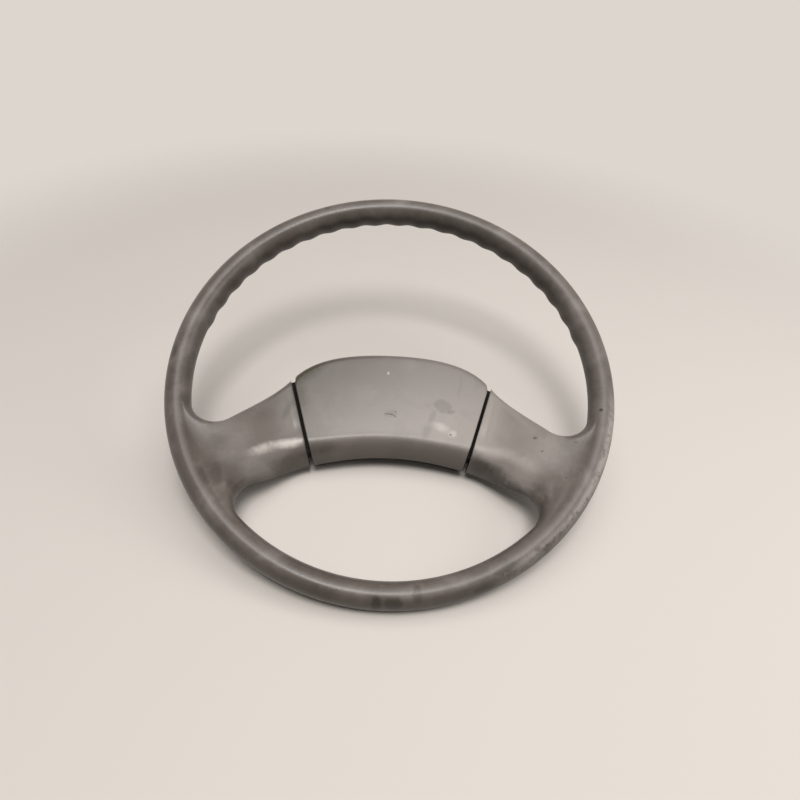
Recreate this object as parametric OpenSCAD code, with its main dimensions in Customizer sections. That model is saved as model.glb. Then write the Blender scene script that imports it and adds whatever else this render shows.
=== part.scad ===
// Two-spoke steering wheel of a light truck: a moulded rim and spokes on a steel frame,
// with a sprung horn pad over the hub. The origin is on the column's axis at the boss's
// rear face. +Z points along the axis to the driver, +Y to 12 o'clock, +X to the right.

/* [Rim] */
// Overall diameter of the wheel
wheel_d = 450; // [440:1:465]
// Width of the rim's section across the wheel
rim_w = 25; // [24:0.5:28]
// Depth of the rim's section along the column
rim_h = 31; // [29:0.5:34]
// Height of the rim's middle plane over the boss's rear face
rim_z = 80; // [76:1:86]
// Number of finger bumps behind the upper rim
bump_n = 21; // [15:1:21]
// Angle from one finger bump to the next
bump_pitch = 7.25; // [6.5:0.05:7.4]
// Height of a finger bump
bump_h = 1.5; // [0.2:0.1:2]

/* [Spokes] */
// Slope of a spoke's straight upper edge
edge_slope = 49; // [46:0.5:52]
// Radius of the corner between the rim and a spoke's upper edge
upper_fillet = 21; // [18:0.5:23]
// Radius of the corner between the rim and a spoke's lower edge
lower_fillet = 25; // [22:0.5:27]
// How far out the lower corner reaches from the wheel's middle
lower_reach = 142.5; // [140:0.5:145]
// Right end of the slot beside the pad, at its top
slot_top_x = 108.5; // [106:0.5:110]
// Height of the slot's upper end above the wheel's middle
slot_top_y = 12.5; // [10:0.5:14]
// Right end of the slot beside the pad, at its bottom
slot_low_x = 81; // [78:0.5:84]
// Height of the slot's lower end below the wheel's middle
slot_low_y = 79; // [77:0.5:81]
// Thickness of a spoke at the slot
spoke_t = 29; // [27:0.5:31]
// Depth of the rounded upper edge of a spoke at the slot
edge_round = 10; // [8:0.5:13]
// Width of the sloping lower flank of a spoke at the slot
flank_w = 21; // [18:0.5:24]

/* [Horn pad] */
// Height of the pad's face over the boss's rear face
face_z = 48; // [46:0.5:50]
// Highest point of the pad above the wheel's middle
pad_top_y = 47.5; // [45:0.5:49]
// Lowest point of the pad's lower edge at the wheel's middle line
pad_low_y = 67; // [65:0.5:70]
// Fall of the pad's face towards its lower ridge
face_crown = 3; // [1:0.5:4]
// Radius of the pad's upper corners
corner_r = 4; // [2:0.5:5]
// Width of the slot between the pad and a spoke
slot_w = 3.2; // [2.8:0.1:4]
// Wall of the pad's shell
pad_wall = 3.5; // [3:0.25:4]
// Height of the pad's lower lip over the boss's rear face
lip_z = 24; // [23:0.5:25]
// Travel of the horn pad
horn_travel = 2.2; // [1.5:0.1:2.5]

/* [Hub] */
// Diameter of the boss
boss_d = 40; // [38:0.5:42]
// Height of the boss
boss_h = 27; // [25:0.5:29]
// Diameter of the plain pilot bore
pilot_d = 23; // [22.5:0.1:24]
// Length of the plain pilot bore
pilot_l = 8; // [6:0.5:9]
// Diameter inside the splines
spline_d = 20; // [19:0.1:20.5]
// Number of splines
spline_n = 36; // [24:1:40]
// Depth of a spline
spline_t = 0.9; // [0.6:0.1:1.1]
// Width of the flange round the boss
flange_w = 13; // [11:0.5:14]
// Thickness of the steel frame
plate_t = 3.5; // [3:0.25:4]
// Height of the frame's hub plate over the boss's rear face
plate_z = 14; // [13:0.5:15]
// Outside diameter of the rim's steel tube
hoop_d = 12; // [11:0.5:13]
// Wall of the rim's steel tube
hoop_wall = 1.5; // [1:0.1:2]
// Sideways distance of a guide pin from the middle
pin_x = 46; // [44:0.5:48]
// Distance of a guide pin above and below the pad's middle
pin_y = 26; // [25:0.5:27]
// Diameter of a guide pin
pin_d = 8; // [7:0.5:8.5]

/* [Hidden] */
$fn = 48;

// Rim form
rim_r = wheel_d / 2 - rim_w / 2;
rim_in = rim_r - rim_w / 2;
ring_sides = 20;
side_rows = 3;
side_span = side_rows * 360 / ring_sides;
bump_side = 215;
bump_half = 85;
bump_from = 90 - bump_n * bump_pitch / 2;
bump_steps = 4;

// Corner circles between the rim and the spoke edges
edge_inward = 270 - edge_slope;
edge_away = slot_top_x * cos(90 - edge_slope) + slot_top_y * sin(90 - edge_slope) + upper_fillet;
edge_run = sqrt(pow(rim_in - upper_fillet, 2) - pow(edge_away, 2));
up_c = edge_away * dir(90 - edge_slope) + edge_run * dir(-edge_slope);
up_a = atan2(up_c[1], up_c[0]);
low_c = [lower_reach - lower_fillet,
         -sqrt(pow(rim_in - lower_fillet, 2) - pow(lower_reach - lower_fillet, 2))];
low_a = atan2(low_c[1], low_c[0]);

// Slot line, from its top on the upper edge to its bottom
slot_top = [slot_top_x, slot_top_y];
slot_low = [slot_low_x, -slot_low_y];
slot_len = norm(slot_low - slot_top);
slot_dir = (slot_low - slot_top) / slot_len;

function unit(v) = v / norm(v);
function mix(a, b, t) = a * (1 - t) + b * t;
function dir(a) = [cos(a), sin(a)];
function bezier(p, t) = pow(1 - t, 3) * p[0] + 3 * pow(1 - t, 2) * t * p[1]
    + 3 * (1 - t) * pow(t, 2) * p[2] + pow(t, 3) * p[3];
function flat3(p, z) = [p[0], p[1], z];
// Cubic through two points with given tangents
function hermite(a, ta, b, tb, t) = (2 * pow(t, 3) - 3 * t * t + 1) * a
    + (pow(t, 3) - 2 * t * t + t) * ta + (3 * t * t - 2 * pow(t, 3)) * b
    + (pow(t, 3) - t * t) * tb;
function ease(t) = t * t * (3 - 2 * t);

// A point on the rim: a round the wheel, p round the section, 0 outside and 90 to the driver
function bump_lift(a, p) = let (
        n = (a - bump_from) / bump_pitch,
        side = abs(p - bump_side) < bump_half ? pow(cos((p - bump_side) * 90 / bump_half), 2) : 0)
    n > 0 && n < bump_n ? bump_h * side * (1 - cos(360 * n)) / 2 : 0;
function ring_point(a, p) = let (lift = bump_lift(a, p))
    [(rim_r + (rim_w / 2 + lift) * cos(p)) * cos(a),
     (rim_r + (rim_w / 2 + lift) * cos(p)) * sin(a),
     rim_z + (rim_h / 2 + lift) * sin(p)];

// Outline of a spoke's upper edge, from the rim (s = 0) to the slot (s = 1)
up_tangent = up_c + upper_fillet * dir(edge_inward);
up_arc = upper_fillet * (up_a + 360 - edge_inward) * PI / 180;
up_line = norm(up_tangent - slot_top);
up_total = up_arc + up_line;
function up_edge(s) = let (l = s * up_total)
    l < up_arc ? up_c + upper_fillet * dir(up_a - l / upper_fillet * 180 / PI)
               : mix(up_tangent, slot_top, (l - up_arc) / up_line);
function up_in(s) = let (l = s * up_total)
    l < up_arc ? dir(up_a - l / upper_fillet * 180 / PI) : dir(edge_inward);

// Outline of a spoke's lower edge, from the rim to the slot
low_end = 59;
low_slope = 14;
low_tangent = low_c + lower_fillet * dir(low_end);
low_arc = lower_fillet * (low_end - low_a) * PI / 180;
low_line = norm(low_tangent - slot_low);
low_total = low_arc + low_line;
low_curve = [low_tangent, low_tangent + low_line / 3 * dir(low_end + 90),
             slot_low + low_line / 3 * dir(-low_slope), slot_low];
function low_edge(s) = let (l = s * low_total)
    l < low_arc ? low_c + lower_fillet * dir(low_a + l / lower_fillet * 180 / PI)
                : bezier(low_curve, (l - low_arc) / low_line);
function low_in(s) = let (l = s * low_total)
    l < low_arc ? dir(low_a + l / lower_fillet * 180 / PI)
                : dir(mix(low_end, 90 - low_slope, (l - low_arc) / low_line));

// Room that the pad keeps to what stands still, and the rear cover's place inside its outline
run_room = 0.8;
cover_in = 5;

// Height of the face at the slot, and of the pad's face between the slots
crown_drop = 2;
slot_z = face_z - crown_drop;

// Centre heights and half sizes of a spoke's two rounded edges between rim and slot
slot_base = slot_z - spoke_t;
under_round = 8;
function up_mid(s) = mix(rim_z, (slot_z + slot_base) / 2, ease(s));
function up_half(s) = mix(rim_h / 2, spoke_t / 2, ease(s));
function up_deep(s) = mix(rim_w / 2, edge_round, ease(s));
function low_mid(s) = mix(rim_z, lip_z, ease(s));
function low_half(s, q) = q > 0 ? mix(rim_h / 2, slot_z - lip_z, ease(s))
                                : mix(rim_h / 2, lip_z - slot_base, ease(s));
function low_deep(s, q) = q > 0 ? mix(rim_w / 2, flank_w, ease(s))
                                : mix(rim_w / 2, under_round, ease(s));

// A point on the rounded upper or lower edge of the right spoke, q from the widest line
function up_side(s, q) =
    flat3(up_edge(s) + unit(mix(up_in(s), slot_dir, pow(s, 3))) * up_deep(s) * (1 - cos(q)),
          up_mid(s) + up_half(s) * sin(q));
function low_side(s, q) =
    flat3(low_edge(s) + unit(mix(low_in(s), -slot_dir, pow(s, 3))) * low_deep(s, q) * (1 - cos(q)),
          low_mid(s) + low_half(s, q) * sin(q));

// Height of the section at the slot, t along the slot line, k = 1 for the face and -1 behind
function quarter(t) = t >= 1 ? 1 : sqrt(1 - pow(1 - t, 2));
function slot_height(t, k) =
    t < edge_round ? up_mid(1) + k * up_half(1) * quarter(t / edge_round)
                   : lip_z + k * low_half(1, k) * quarter((slot_len - t) / low_deep(1, k));
function slot_point(v, k) = let (
        q = side_span,
        t0 = edge_round * (1 - cos(q)),
        t1 = slot_len - low_deep(1, k) * (1 - cos(q)),
        t = mix(t0, t1, (1 - cos(180 * v)) / 2))
    flat3(slot_top + slot_dir * t, slot_height(t, k));

// Tangent of the spoke's face where it leaves the rim
step = 0.001;
leave_face = 85;
leave_back = 30;
function rim_leave(v, k) = let (
        a = mix(up_a, low_a, v),
        across = unit([-rim_w * sin(side_span), -k * rim_h * cos(side_span)]),
        round_rate = norm(v < 0.5 ? up_side(step, k * side_span) - up_side(0, k * side_span)
                                  : low_side(step, k * side_span) - low_side(0, k * side_span)) / step)
    -cos(180 * v) * round_rate * [-sin(a), cos(a), 0]
    + sin(180 * v) * (k > 0 ? leave_face : leave_back)
      * [across[0] * cos(a), across[0] * sin(a), across[1]];
function slot_arrive(v, k) =
    mix(up_side(1, k * side_span) - up_side(1 - step, k * side_span),
        low_side(1, k * side_span) - low_side(1 - step, k * side_span), v) / step;
function rim_row(v, k) = ring_point(mix(up_a, low_a, v), 180 - k * side_span);
function across_curve(v, k, s) =
    hermite(rim_row(v, k), rim_leave(v, k), slot_point(v, k), slot_arrive(v, k), s);
// A point on the face (k = 1) or back (k = -1) of the right spoke
function face_point(s, v, k) =
    mix(up_side(s, k * side_span), low_side(s, k * side_span), v) + across_curve(v, k, s)
    - mix(across_curve(0, k, s), across_curve(1, k, s), v);

// Stations round the rim, with the two spokes' roots between fixed ones
root_steps = 10;
gap_steps = 5;
low_steps = 20;
bump_to = bump_from + bump_n * bump_pitch;
stations = concat(
    [for (i = [0:bump_n * bump_steps]) bump_from + i * bump_pitch / bump_steps],
    [for (i = [1:gap_steps]) mix(bump_to, 180 - up_a, i / gap_steps)],
    [for (i = [1:root_steps]) mix(180 - up_a, 180 - low_a, i / root_steps)],
    [for (i = [1:low_steps]) mix(180 - low_a, 360 + low_a, i / low_steps)],
    [for (i = [1:root_steps]) mix(360 + low_a, 360 + up_a, i / root_steps)],
    [for (i = [1:gap_steps - 1]) mix(360 + up_a, 360 + bump_from, i / gap_steps)]);
station_n = len(stations);
left_root = bump_n * bump_steps + gap_steps;
right_root = left_root + 2 * root_steps + low_steps;
row_face = ring_sides / 2 - side_rows;
row_back = ring_sides / 2 + side_rows;
side_steps = 2 * side_rows;

// The spoke's loop: down the upper edge, along the back, up the lower edge, along the face
loop_n = 2 * (side_steps + root_steps);
function loop_place(k) =
    k < side_steps ? [0, k]
    : k < side_steps + root_steps ? [k - side_steps, side_steps]
    : k < 2 * side_steps + root_steps ? [root_steps, 2 * side_steps + root_steps - k]
    : [loop_n - k, 0];
function spoke_point(s, k) = let (p = loop_place(k), q = side_span * (1 - 2 * p[1] / side_steps))
    p[0] == 0 ? up_side(s, q)
    : p[0] == root_steps ? low_side(s, q)
    : face_point(s, p[0] / root_steps, p[1] == 0 ? 1 : -1);
spoke_steps = 14;
spoke_s = [for (i = [0:spoke_steps]) pow(i / spoke_steps, 1.3)];
cap_point = flat3((slot_top + slot_low) / 2, (slot_z + slot_base) / 2);

function wrap(i) = i % station_n;
function ring_index(i, j) = wrap(i) * ring_sides + j % ring_sides;
function in_root(i, j) = j >= row_face && j < row_back
    && ((i >= left_root && i < left_root + root_steps)
        || (i >= right_root - root_steps && i < right_root));
function loop_index(side, m, k) = let (kk = k % loop_n, p = loop_place(kk))
    m == 0 ? ring_index(side > 0 ? right_root - p[0] : left_root + p[0], row_face + p[1])
           : station_n * ring_sides + (side > 0 ? 0 : spoke_steps * loop_n + 1)
             + (m - 1) * loop_n + kk;
function quad(a, b, c, d) = [[a, c, b], [a, d, c]];
function flip(f) = [for (i = [len(f) - 1:-1:0]) f[i]];
function mirror_x(p) = [-p[0], p[1], p[2]];

grip_points = concat(
    [for (a = stations, j = [0:ring_sides - 1]) ring_point(a, j * 360 / ring_sides)],
    [for (m = [1:spoke_steps], k = [0:loop_n - 1]) spoke_point(spoke_s[m], k)],
    [cap_point],
    [for (m = [1:spoke_steps], k = [0:loop_n - 1]) mirror_x(spoke_point(spoke_s[m], k))],
    [mirror_x(cap_point)]);
grip_faces = concat(
    [for (i = [0:station_n - 1], j = [0:ring_sides - 1]) if (!in_root(i, j))
        each quad(ring_index(i, j), ring_index(i + 1, j), ring_index(i + 1, j + 1),
                  ring_index(i, j + 1))],
    [for (side = [1, -1], m = [0:spoke_steps - 1], k = [0:loop_n - 1])
        each let (q = quad(loop_index(side, m, k), loop_index(side, m, k + 1),
                           loop_index(side, m + 1, k + 1), loop_index(side, m + 1, k)))
            side > 0 ? q : [for (f = q) flip(f)]],
    [for (side = [1, -1], k = [0:loop_n - 1])
        let (c = station_n * ring_sides + spoke_steps * loop_n
                 + (side > 0 ? 0 : spoke_steps * loop_n + 1),
             f = [loop_index(side, spoke_steps, k), c, loop_index(side, spoke_steps, k + 1)])
            side > 0 ? f : flip(f)]);

// Ledge on a spoke's end that closes the slot from behind, with the pad's end above it
ledge_z = 33;
ledge_inset = 0.8;
ledge_low = slot_len - 12;
ledge_l = slot_w + cover_in - 0.5;
ledge_seat = 2;
ledge_steps = 5;
function edge_at(z) = edge_round * (1 - sqrt(1 - pow((z - up_mid(1)) / up_half(1), 2)));
module across_slot(from, to) {
    translate([slot_top_x, slot_top_y, 0]) rotate([90, 0, atan2(slot_dir[1], slot_dir[0])])
        translate([0, 0, from]) linear_extrude(to - from) children();
}
module ledge() {
    across_slot(-ledge_seat, ledge_l)
        polygon(concat([for (i = [0:ledge_steps])
                            let (z = mix(slot_base + ledge_inset, ledge_z, pow(i / ledge_steps, 2)))
                            [edge_at(z) + ledge_inset, z]],
                       [[ledge_low, ledge_z], [ledge_low, slot_base + ledge_inset]]));
}
module ledge_space() {
    across_slot(0, ledge_l + run_room)
        translate([-edge_round, lip_z - 1])
            square([ledge_low + run_room + edge_round, ledge_z + horn_travel + run_room - lip_z + 1]);
}
module both() {
    children();
    mirror([1, 0, 0]) children();
}

// Steel frame: levels of the hub plate and the arms, and the arms' line in plan
arm_z = 22.5;
arm_tip_z = rim_z - plate_t / 2;
frame_mid_y = (pad_top_y - pad_low_y) / 2;
frame_x = 60;
frame_y = 45;
arm_root = [46, frame_mid_y - 4];
arm_slot = (slot_top + slot_low) / 2;
arm_tip = rim_r * dir((up_a + low_a) / 2 + 1.5);
arm_line = [arm_root, arm_slot, mix(arm_slot, arm_tip, 0.6), arm_tip];
arm_half = [24, 17, 13, 11];
key_hole_d = 9;

// Side of a line of points, widened by half widths h
function line_way(p, i) = unit(p[min(i + 1, len(p) - 1)] - p[max(i - 1, 0)]);
function line_side(p, h, side) = [for (i = [0:len(p) - 1]) let (w = line_way(p, i))
    p[i] + side * h[i] * [-w[1], w[0]]];
module arm_plan() {
    polygon(concat(line_side(arm_line, arm_half, 1), flip(line_side(arm_line, arm_half, -1))));
}
module rounded_plan(hx, hy, r) {
    for (x = [-1, 1], y = [-1, 1]) translate([x * (hx - r), y * (hy - r)]) circle(r);
    square([2 * hx, 2 * (hy - r)], center = true);
    square([2 * (hx - r), 2 * hy], center = true);
}
// The frame's side view: the hub plate, a step up, a run under the pad and a climb to the tube
frame_side = [[0, plate_z], [frame_x - 2, plate_z], [frame_x + 14, arm_z],
              [arm_slot[0] + 8, arm_z], [arm_tip[0] - 12, arm_tip_z],
              [arm_tip[0] + 12, arm_tip_z]];
function lift_line(p, t) = [for (i = [0:len(p) - 1]) let (w = line_way(p, i))
    p[i] + t * [-w[1], w[0]] / max(0.9, w[0])];
module frame_profile() {
    rotate([90, 0, 0]) linear_extrude(2 * rim_r, center = true)
        polygon(concat(frame_side, flip(lift_line(frame_side, plate_t))));
}
module frame_arm() {
    difference() {
        intersection() {
            frame_profile();
            linear_extrude(rim_z) arm_plan();
        }
        for (f = [0.3, 0.62]) let (p = mix(arm_slot, arm_tip, f))
            translate([p[0], p[1], 0]) cylinder(d = key_hole_d, h = rim_z);
    }
}
module frame_arms() {
    both() frame_arm();
}
module rim_torus(d) {
    translate([0, 0, rim_z]) rotate_extrude($fn = 96) translate([rim_r, 0]) circle(d = d);
}

// Moulded rim and spokes, one piece of foamed plastic round the steel frame
module grip() {
    color("#78706a") difference() {
        union() {
            polyhedron(grip_points, grip_faces, convexity = 8);
            both() ledge();
        }
        rim_torus(hoop_d);
        frame_arms();
    }
}

module rim_tube() {
    color("#8d8f90") difference() {
        rim_torus(hoop_d);
        rim_torus(hoop_d - 2 * hoop_wall);
    }
}

// Insulating ring behind the boss, with the slip ring let into it
flange_t = 6;
flange_d = boss_d + 2 * flange_w;
carrier_over = 1;
carrier_z = 2.5;
carrier_d = flange_d + 2 * carrier_over;
carrier_gap = 2.5;
slip_inside = 5.5;
slip_outside = 3.5;
slip_in = boss_d + 2 * slip_inside;
slip_out = carrier_d - 2 * slip_outside;
slip_deep = 1.6;
slip_proud = 0.4;
lug_t = 2.2;
lug_clear = 0.6;
carrier_screw_d = 2.5;
carrier_screw_l = 7;
carrier_head_d = 4.6;
carrier_head_h = 1.5;
carrier_seat = 1.6;
carrier_screw_places = [for (a = [45, 165, 285]) (boss_d + slip_in) / 4 * dir(a)];

// Where the screws, pins and contacts stand
pad_mid_y = frame_mid_y;
function four_places(x, y) = [for (i = [1, -1], j = [1, -1]) [i * x, pad_mid_y + j * y]];
pin_places = four_places(pin_x, pin_y);
pad_screw_places = four_places(pin_x + 15, pin_y - 6);
cover_post_d = 11;
cover_screw_d = 4;
cover_head_d = 8;
cover_head_h = 2.6;
cover_seat = 3;
cover_screw_turn = 39;
cover_hole_d = carrier_d + 2 * carrier_gap;
cover_high_screw = (cover_hole_d / 2 + cover_post_d * 0.65) * dir(cover_screw_turn);
cover_low_screw = [pin_x - 12, pad_mid_y - pin_y - 12];
cover_screw_places = [for (p = [cover_high_screw, cover_low_screw], side = [1, -1])
    [side * p[0], p[1]]];
puller_x = (boss_d + flange_w) / 2;
puller_d = 6.8;
lead_y = -(slip_in + slip_out) / 4;
lead_d = 2.4;
lead_hole_d = 5;
lead_clear = 3;
strip_w = 9;
strip_border = 2;
contact_y = lead_y - lead_d / 2 - lead_clear - strip_border - strip_w / 2;
block_screw_x = 10;
block_screw_d = 3;
bush_d = pin_d + 4;
run_gap = 0.08;
screw_gap = 0.1;

module at(places) {
    for (p = places) translate([p[0], p[1], 0]) children();
}

module spoke_frame() {
    color("#6f7173") difference() {
        union() {
            translate([0, frame_mid_y, plate_z]) linear_extrude(plate_t)
                rounded_plan(frame_x, frame_y, 12);
            frame_arms();
        }
        cylinder(d = boss_d, h = rim_z);
        at(pin_places) cylinder(d = bush_d, h = rim_z / 2);
        at(cover_screw_places) cylinder(d = cover_screw_d, h = rim_z / 2);
        at([[puller_x, 0], [-puller_x, 0]]) cylinder(d = puller_d, h = rim_z / 2);
        at([[block_screw_x, contact_y], [-block_screw_x, contact_y]])
            cylinder(d = block_screw_d, h = rim_z / 2);
        translate([0, lead_y, 0]) cylinder(d = lead_hole_d, h = rim_z / 2);
        rim_torus(hoop_d);
    }
}

// Turned boss: plain pilot bore, splines, nut seat, and a flange with two puller holes
nut_wall = 4;
nut_d = boss_d - 2 * nut_wall;
nut_deep = 5;
boss_bevel = 1.2;
module hub_boss() {
    star = [for (i = [0:2 * spline_n - 1]) (i % 2 == 0 ? spline_d / 2 + spline_t
                                                      : spline_d / 2 - spline_t / 2)
            * dir(i * 180 / spline_n)];
    color("#84868a") difference() {
        union() {
            cylinder(d = boss_d, h = boss_h - boss_bevel);
            translate([0, 0, boss_h - boss_bevel])
                cylinder(d1 = boss_d, d2 = boss_d - 2 * boss_bevel, h = boss_bevel);
            translate([0, 0, plate_z - flange_t]) cylinder(d = flange_d, h = flange_t);
        }
        translate([0, 0, -1]) cylinder(d = pilot_d, h = pilot_l + 1);
        cylinder(d = spline_d, h = boss_h);
        linear_extrude(boss_h) polygon(star);
        translate([0, 0, boss_h - nut_deep]) cylinder(d = nut_d, h = nut_deep + 1);
        at([[puller_x, 0], [-puller_x, 0]]) cylinder(d = puller_d, h = plate_z + 1);
        translate([0, lead_y, 0]) cylinder(d = lead_hole_d, h = boss_h);
        at(carrier_screw_places) cylinder(d = carrier_screw_d, h = plate_z - 1);
    }
}

// Insulating ring on the boss's rear: it holds the slip ring and two indicator lugs
module ring_carrier() {
    color("#2b2c2e") difference() {
        union() {
            translate([0, 0, carrier_z]) cylinder(d = carrier_d, h = plate_z - flange_t - carrier_z);
            for (side = [0, 180]) rotate(side) translate([0, 0, carrier_z - lug_t])
                rotate_extrude(angle = 24, start = -12)
                    translate([slip_out / 2 + lug_clear, 0])
                        square([slip_outside - lug_clear, lug_t + 1]);
        }
        cylinder(d = boss_d, h = plate_z);
        translate([0, 0, carrier_z - 1]) difference() {
            cylinder(d = slip_out, h = slip_deep + 1);
            cylinder(d = slip_in, h = slip_deep + 1);
        }
        at(carrier_screw_places) cylinder(d = carrier_screw_d + screw_gap, h = plate_z);
        at(carrier_screw_places) cylinder(d = carrier_head_d + 2 * screw_gap, h = carrier_z + carrier_seat);
        translate([0, lead_y, 0]) cylinder(d = lead_d, h = plate_z);
    }
}
module slip_ring() {
    color("#b08a45") translate([0, 0, carrier_z - slip_proud]) difference() {
        cylinder(d = slip_out, h = slip_deep + slip_proud);
        cylinder(d = slip_in, h = slip_deep + slip_proud);
    }
}

// A pan-head screw standing on z, its head below when flip_over is set
module screw(z, length, d, head_d, head_h) {
    translate([0, 0, z]) difference() {
        union() {
            cylinder(d = d, h = length);
            translate([0, 0, -head_h]) cylinder(d1 = head_d * 0.8, d2 = head_d, h = head_h, $fn = 24);
        }
        for (a = [0, 90]) rotate(a) translate([-head_d * 0.3, -head_d * 0.07, -head_h - 1])
            cube([head_d * 0.6, head_d * 0.14, 1 + head_h * 0.6]);
    }
}
module carrier_screws() {
    color("#9a9c9e") at(carrier_screw_places)
        screw(carrier_z + carrier_seat, carrier_screw_l, carrier_screw_d, carrier_head_d, carrier_head_h);
}

// Fixed horn contact: insulating block and brass strip on the frame, with a contact stud
block_z = plate_z + plate_t;
block_h = 5;
strip_t = 0.8;
stud_d = 6;
fixed_stud_z = block_z + block_h + strip_t;
fixed_stud_h = 6.5;
contact_gap = 0.2;
block_head_d = 5.5;
block_head_h = 2;
module contact_block() {
    color("#2b2c2e") translate([0, contact_y, block_z]) difference() {
        linear_extrude(block_h)
            rounded_plan(block_screw_x + 2 * block_screw_d, strip_w / 2 + strip_border, block_screw_d);
        for (x = [-1, 1]) translate([x * block_screw_x, 0, -1])
            cylinder(d = block_screw_d, h = block_h + 2);
    }
}
module fixed_contact() {
    color("#b08a45") translate([0, contact_y, block_z + block_h]) difference() {
        union() {
            linear_extrude(strip_t)
                rounded_plan(block_screw_x + 1.5 * block_screw_d, strip_w / 2, strip_border);
            cylinder(d = stud_d, h = strip_t + fixed_stud_h - 1);
            translate([0, 0, strip_t + fixed_stud_h - 1]) cylinder(d1 = stud_d, d2 = stud_d - 2, h = 1);
        }
        for (x = [-1, 1]) translate([x * block_screw_x, 0, -1]) cylinder(d = block_screw_d, h = block_h);
    }
}
module block_screws() {
    color("#9a9c9e") for (x = [-1, 1])
        translate([x * block_screw_x, contact_y, fixed_stud_z]) mirror([0, 0, 1])
            screw(0, block_h + strip_t + plate_t, block_screw_d, block_head_d, block_head_h);
}

// A solid through closed rings of equal length, each ring flat
module loft(rings) {
    n = len(rings);
    m = len(rings[0]);
    faces = concat(
        [for (i = [0:n - 2], k = [0:m - 1]) each quad(i * m + k, (i + 1) * m + k,
            (i + 1) * m + (k + 1) % m, i * m + (k + 1) % m)],
        [[for (k = [m - 1:-1:0]) k]], [[for (k = [0:m - 1]) (n - 1) * m + k]]);
    polyhedron([for (r = rings) each r], faces, convexity = 4);
}

// Insulated lead from the slip ring up through the flange to the fixed contact
lead_end = [stud_d / 2 + lead_d / 2 + 1, contact_y + stud_d / 2];
lead_top = fixed_stud_z + lead_d / 2 + 0.3;
lead_rise = [[0.08, -1.33], [0.3, 0], [0.6, 0.58], [0.85, 0.38], [1, 0]];
lead_route = concat([for (z = [carrier_z + slip_deep, plate_z - flange_t / 2, block_z + lead_d / 4])
                         [0, lead_y, z]],
                    [for (r = lead_rise) flat3(mix([0, lead_y], lead_end, r[0]),
                                               lead_top + r[1] * lead_d)]);
function tube_ring(p, i, d, sides) = let (
        w = line_way(p, i),
        e = unit(cross(w, [0.3, 1, 0.2])),
        f = cross(e, w))
    [for (k = [0:sides - 1]) p[i] + d / 2 * (cos(k * 360 / sides) * e + sin(k * 360 / sides) * f)];
module swept_tube(p, d, sides = 8) {
    loft([for (i = [0:len(p) - 1]) tube_ring(p, i, d, sides)]);
}
module horn_lead() {
    color("#8a2f2a") swept_tube(lead_route, lead_d);
}

// Nylon bush in the frame that guides a pin of the pad
bush_flange_t = 1.5;
bush_low = plate_z - 0.5;
module guide_bush() {
    color("#d8d4c6") difference() {
        union() {
            translate([0, 0, bush_low]) cylinder(d = bush_d, h = block_z - bush_low);
            translate([0, 0, block_z]) cylinder(d = bush_d + 4, h = bush_flange_t);
        }
        cylinder(d = pin_d + 2 * run_gap, h = rim_z / 2);
    }
}

// Coil spring between a bush and the pad's plate, with closed ends
pad_plate_z = 38.5;
pad_plate_t = 2;
spring_wire = 1.4;
spring_d = pin_d + 4.8;
spring_turns = 5.5;
spring_ring = 12;
module horn_spring() {
    low = block_z + bush_flange_t + spring_wire / 2;
    high = pad_plate_z - spring_wire / 2;
    n = spring_turns * spring_ring;
    function rise(t) = t < 0.16 ? 0.25 * t : t > 0.84 ? 1 - 0.25 * (1 - t)
        : 0.04 + 0.92 * (t - 0.16) / 0.68;
    route = [for (i = [0:n]) flat3((spring_d - spring_wire) / 2 * dir(i * 360 / spring_ring),
                                   mix(low, high, rise(i / n)))];
    color("#a9abad") swept_tube(route, spring_wire, 6);
}

// Horn pad outline, moved inward by o
slot_norm = [slot_dir[1], -slot_dir[0]];
pad_top_flat = 55;
pad_top_turn = 28;
pad_low_flat = 30;
pad_low_turn = 25;
function corner(p, along, inward, o) = p + inward * o
    + along * (slot_w + o - o * (slot_norm * inward)) / (slot_norm * along);
function pad_top_line(o) =
    let (c = corner(slot_top, dir(edge_inward - 90), dir(edge_inward), o))
    [[0, pad_top_y - o], [pad_top_flat, pad_top_y - o], c + pad_top_turn * dir(edge_inward - 90), c];
function pad_low_line(o) =
    let (c = corner(slot_low, dir(180 - low_slope), dir(90 - low_slope), o))
    [[0, -pad_low_y + o], [pad_low_flat, -pad_low_y + o], c + pad_low_turn * dir(180 - low_slope), c];
function both_sides(line, u) = let (p = bezier(line, abs(u))) [sign(u) * p[0], p[1]];

// Section of the pad at u from -1 at the left slot to 1 at the right one, o inside its skin
pad_flank = 15.5;
pad_bend = 1.4;
corner_reach = corner_r / (3 * pad_top_turn);
function corner_drop(u, r) = let (d = 3 * pad_top_turn * (1 - abs(u)))
    d < r ? r - sqrt(r * r - pow(r - d, 2)) : 0;
function face_height(u) = face_z - crown_drop * u * u;
function flank_height(t, u) = t >= 1 ? 1
    : mix(1 - pow(1 - t, pad_bend), quarter(t), pow(abs(u), 3));
function pad_section(u, base, o) = let (
        edge = both_sides(pad_top_line(o), u),
        b = both_sides(pad_low_line(o), u),
        way = unit(b - edge),
        a = edge + way * corner_drop(u, max(corner_r - o, 0)),
        w = norm(b - a),
        top = face_height(u) - o,
        crown = face_crown * (1 - u * u),
        mid = (slot_z + slot_base) / 2,
        flank = mix(pad_flank, flank_w, u * u),
        run = w - edge_round - flank)
    concat([flat3(a, base)],
           [for (q = [0:18:90]) flat3(a + way * edge_round * (1 - cos(q)), mix(mid, top, sin(q)))],
           [for (i = [1:5]) flat3(a + way * (edge_round + run * i / 6), top - crown * pow(i / 6, 2))],
           [for (t = [1, 0.96, 0.9, 0.8, 0.62, 0.42, 0.2, 0]) flat3(b - way * flank * t,
               lip_z + (top - crown - lip_z) * flank_height(t, u))],
           base < lip_z ? [flat3(b, base)] : []);
pad_stations = 22;
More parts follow.
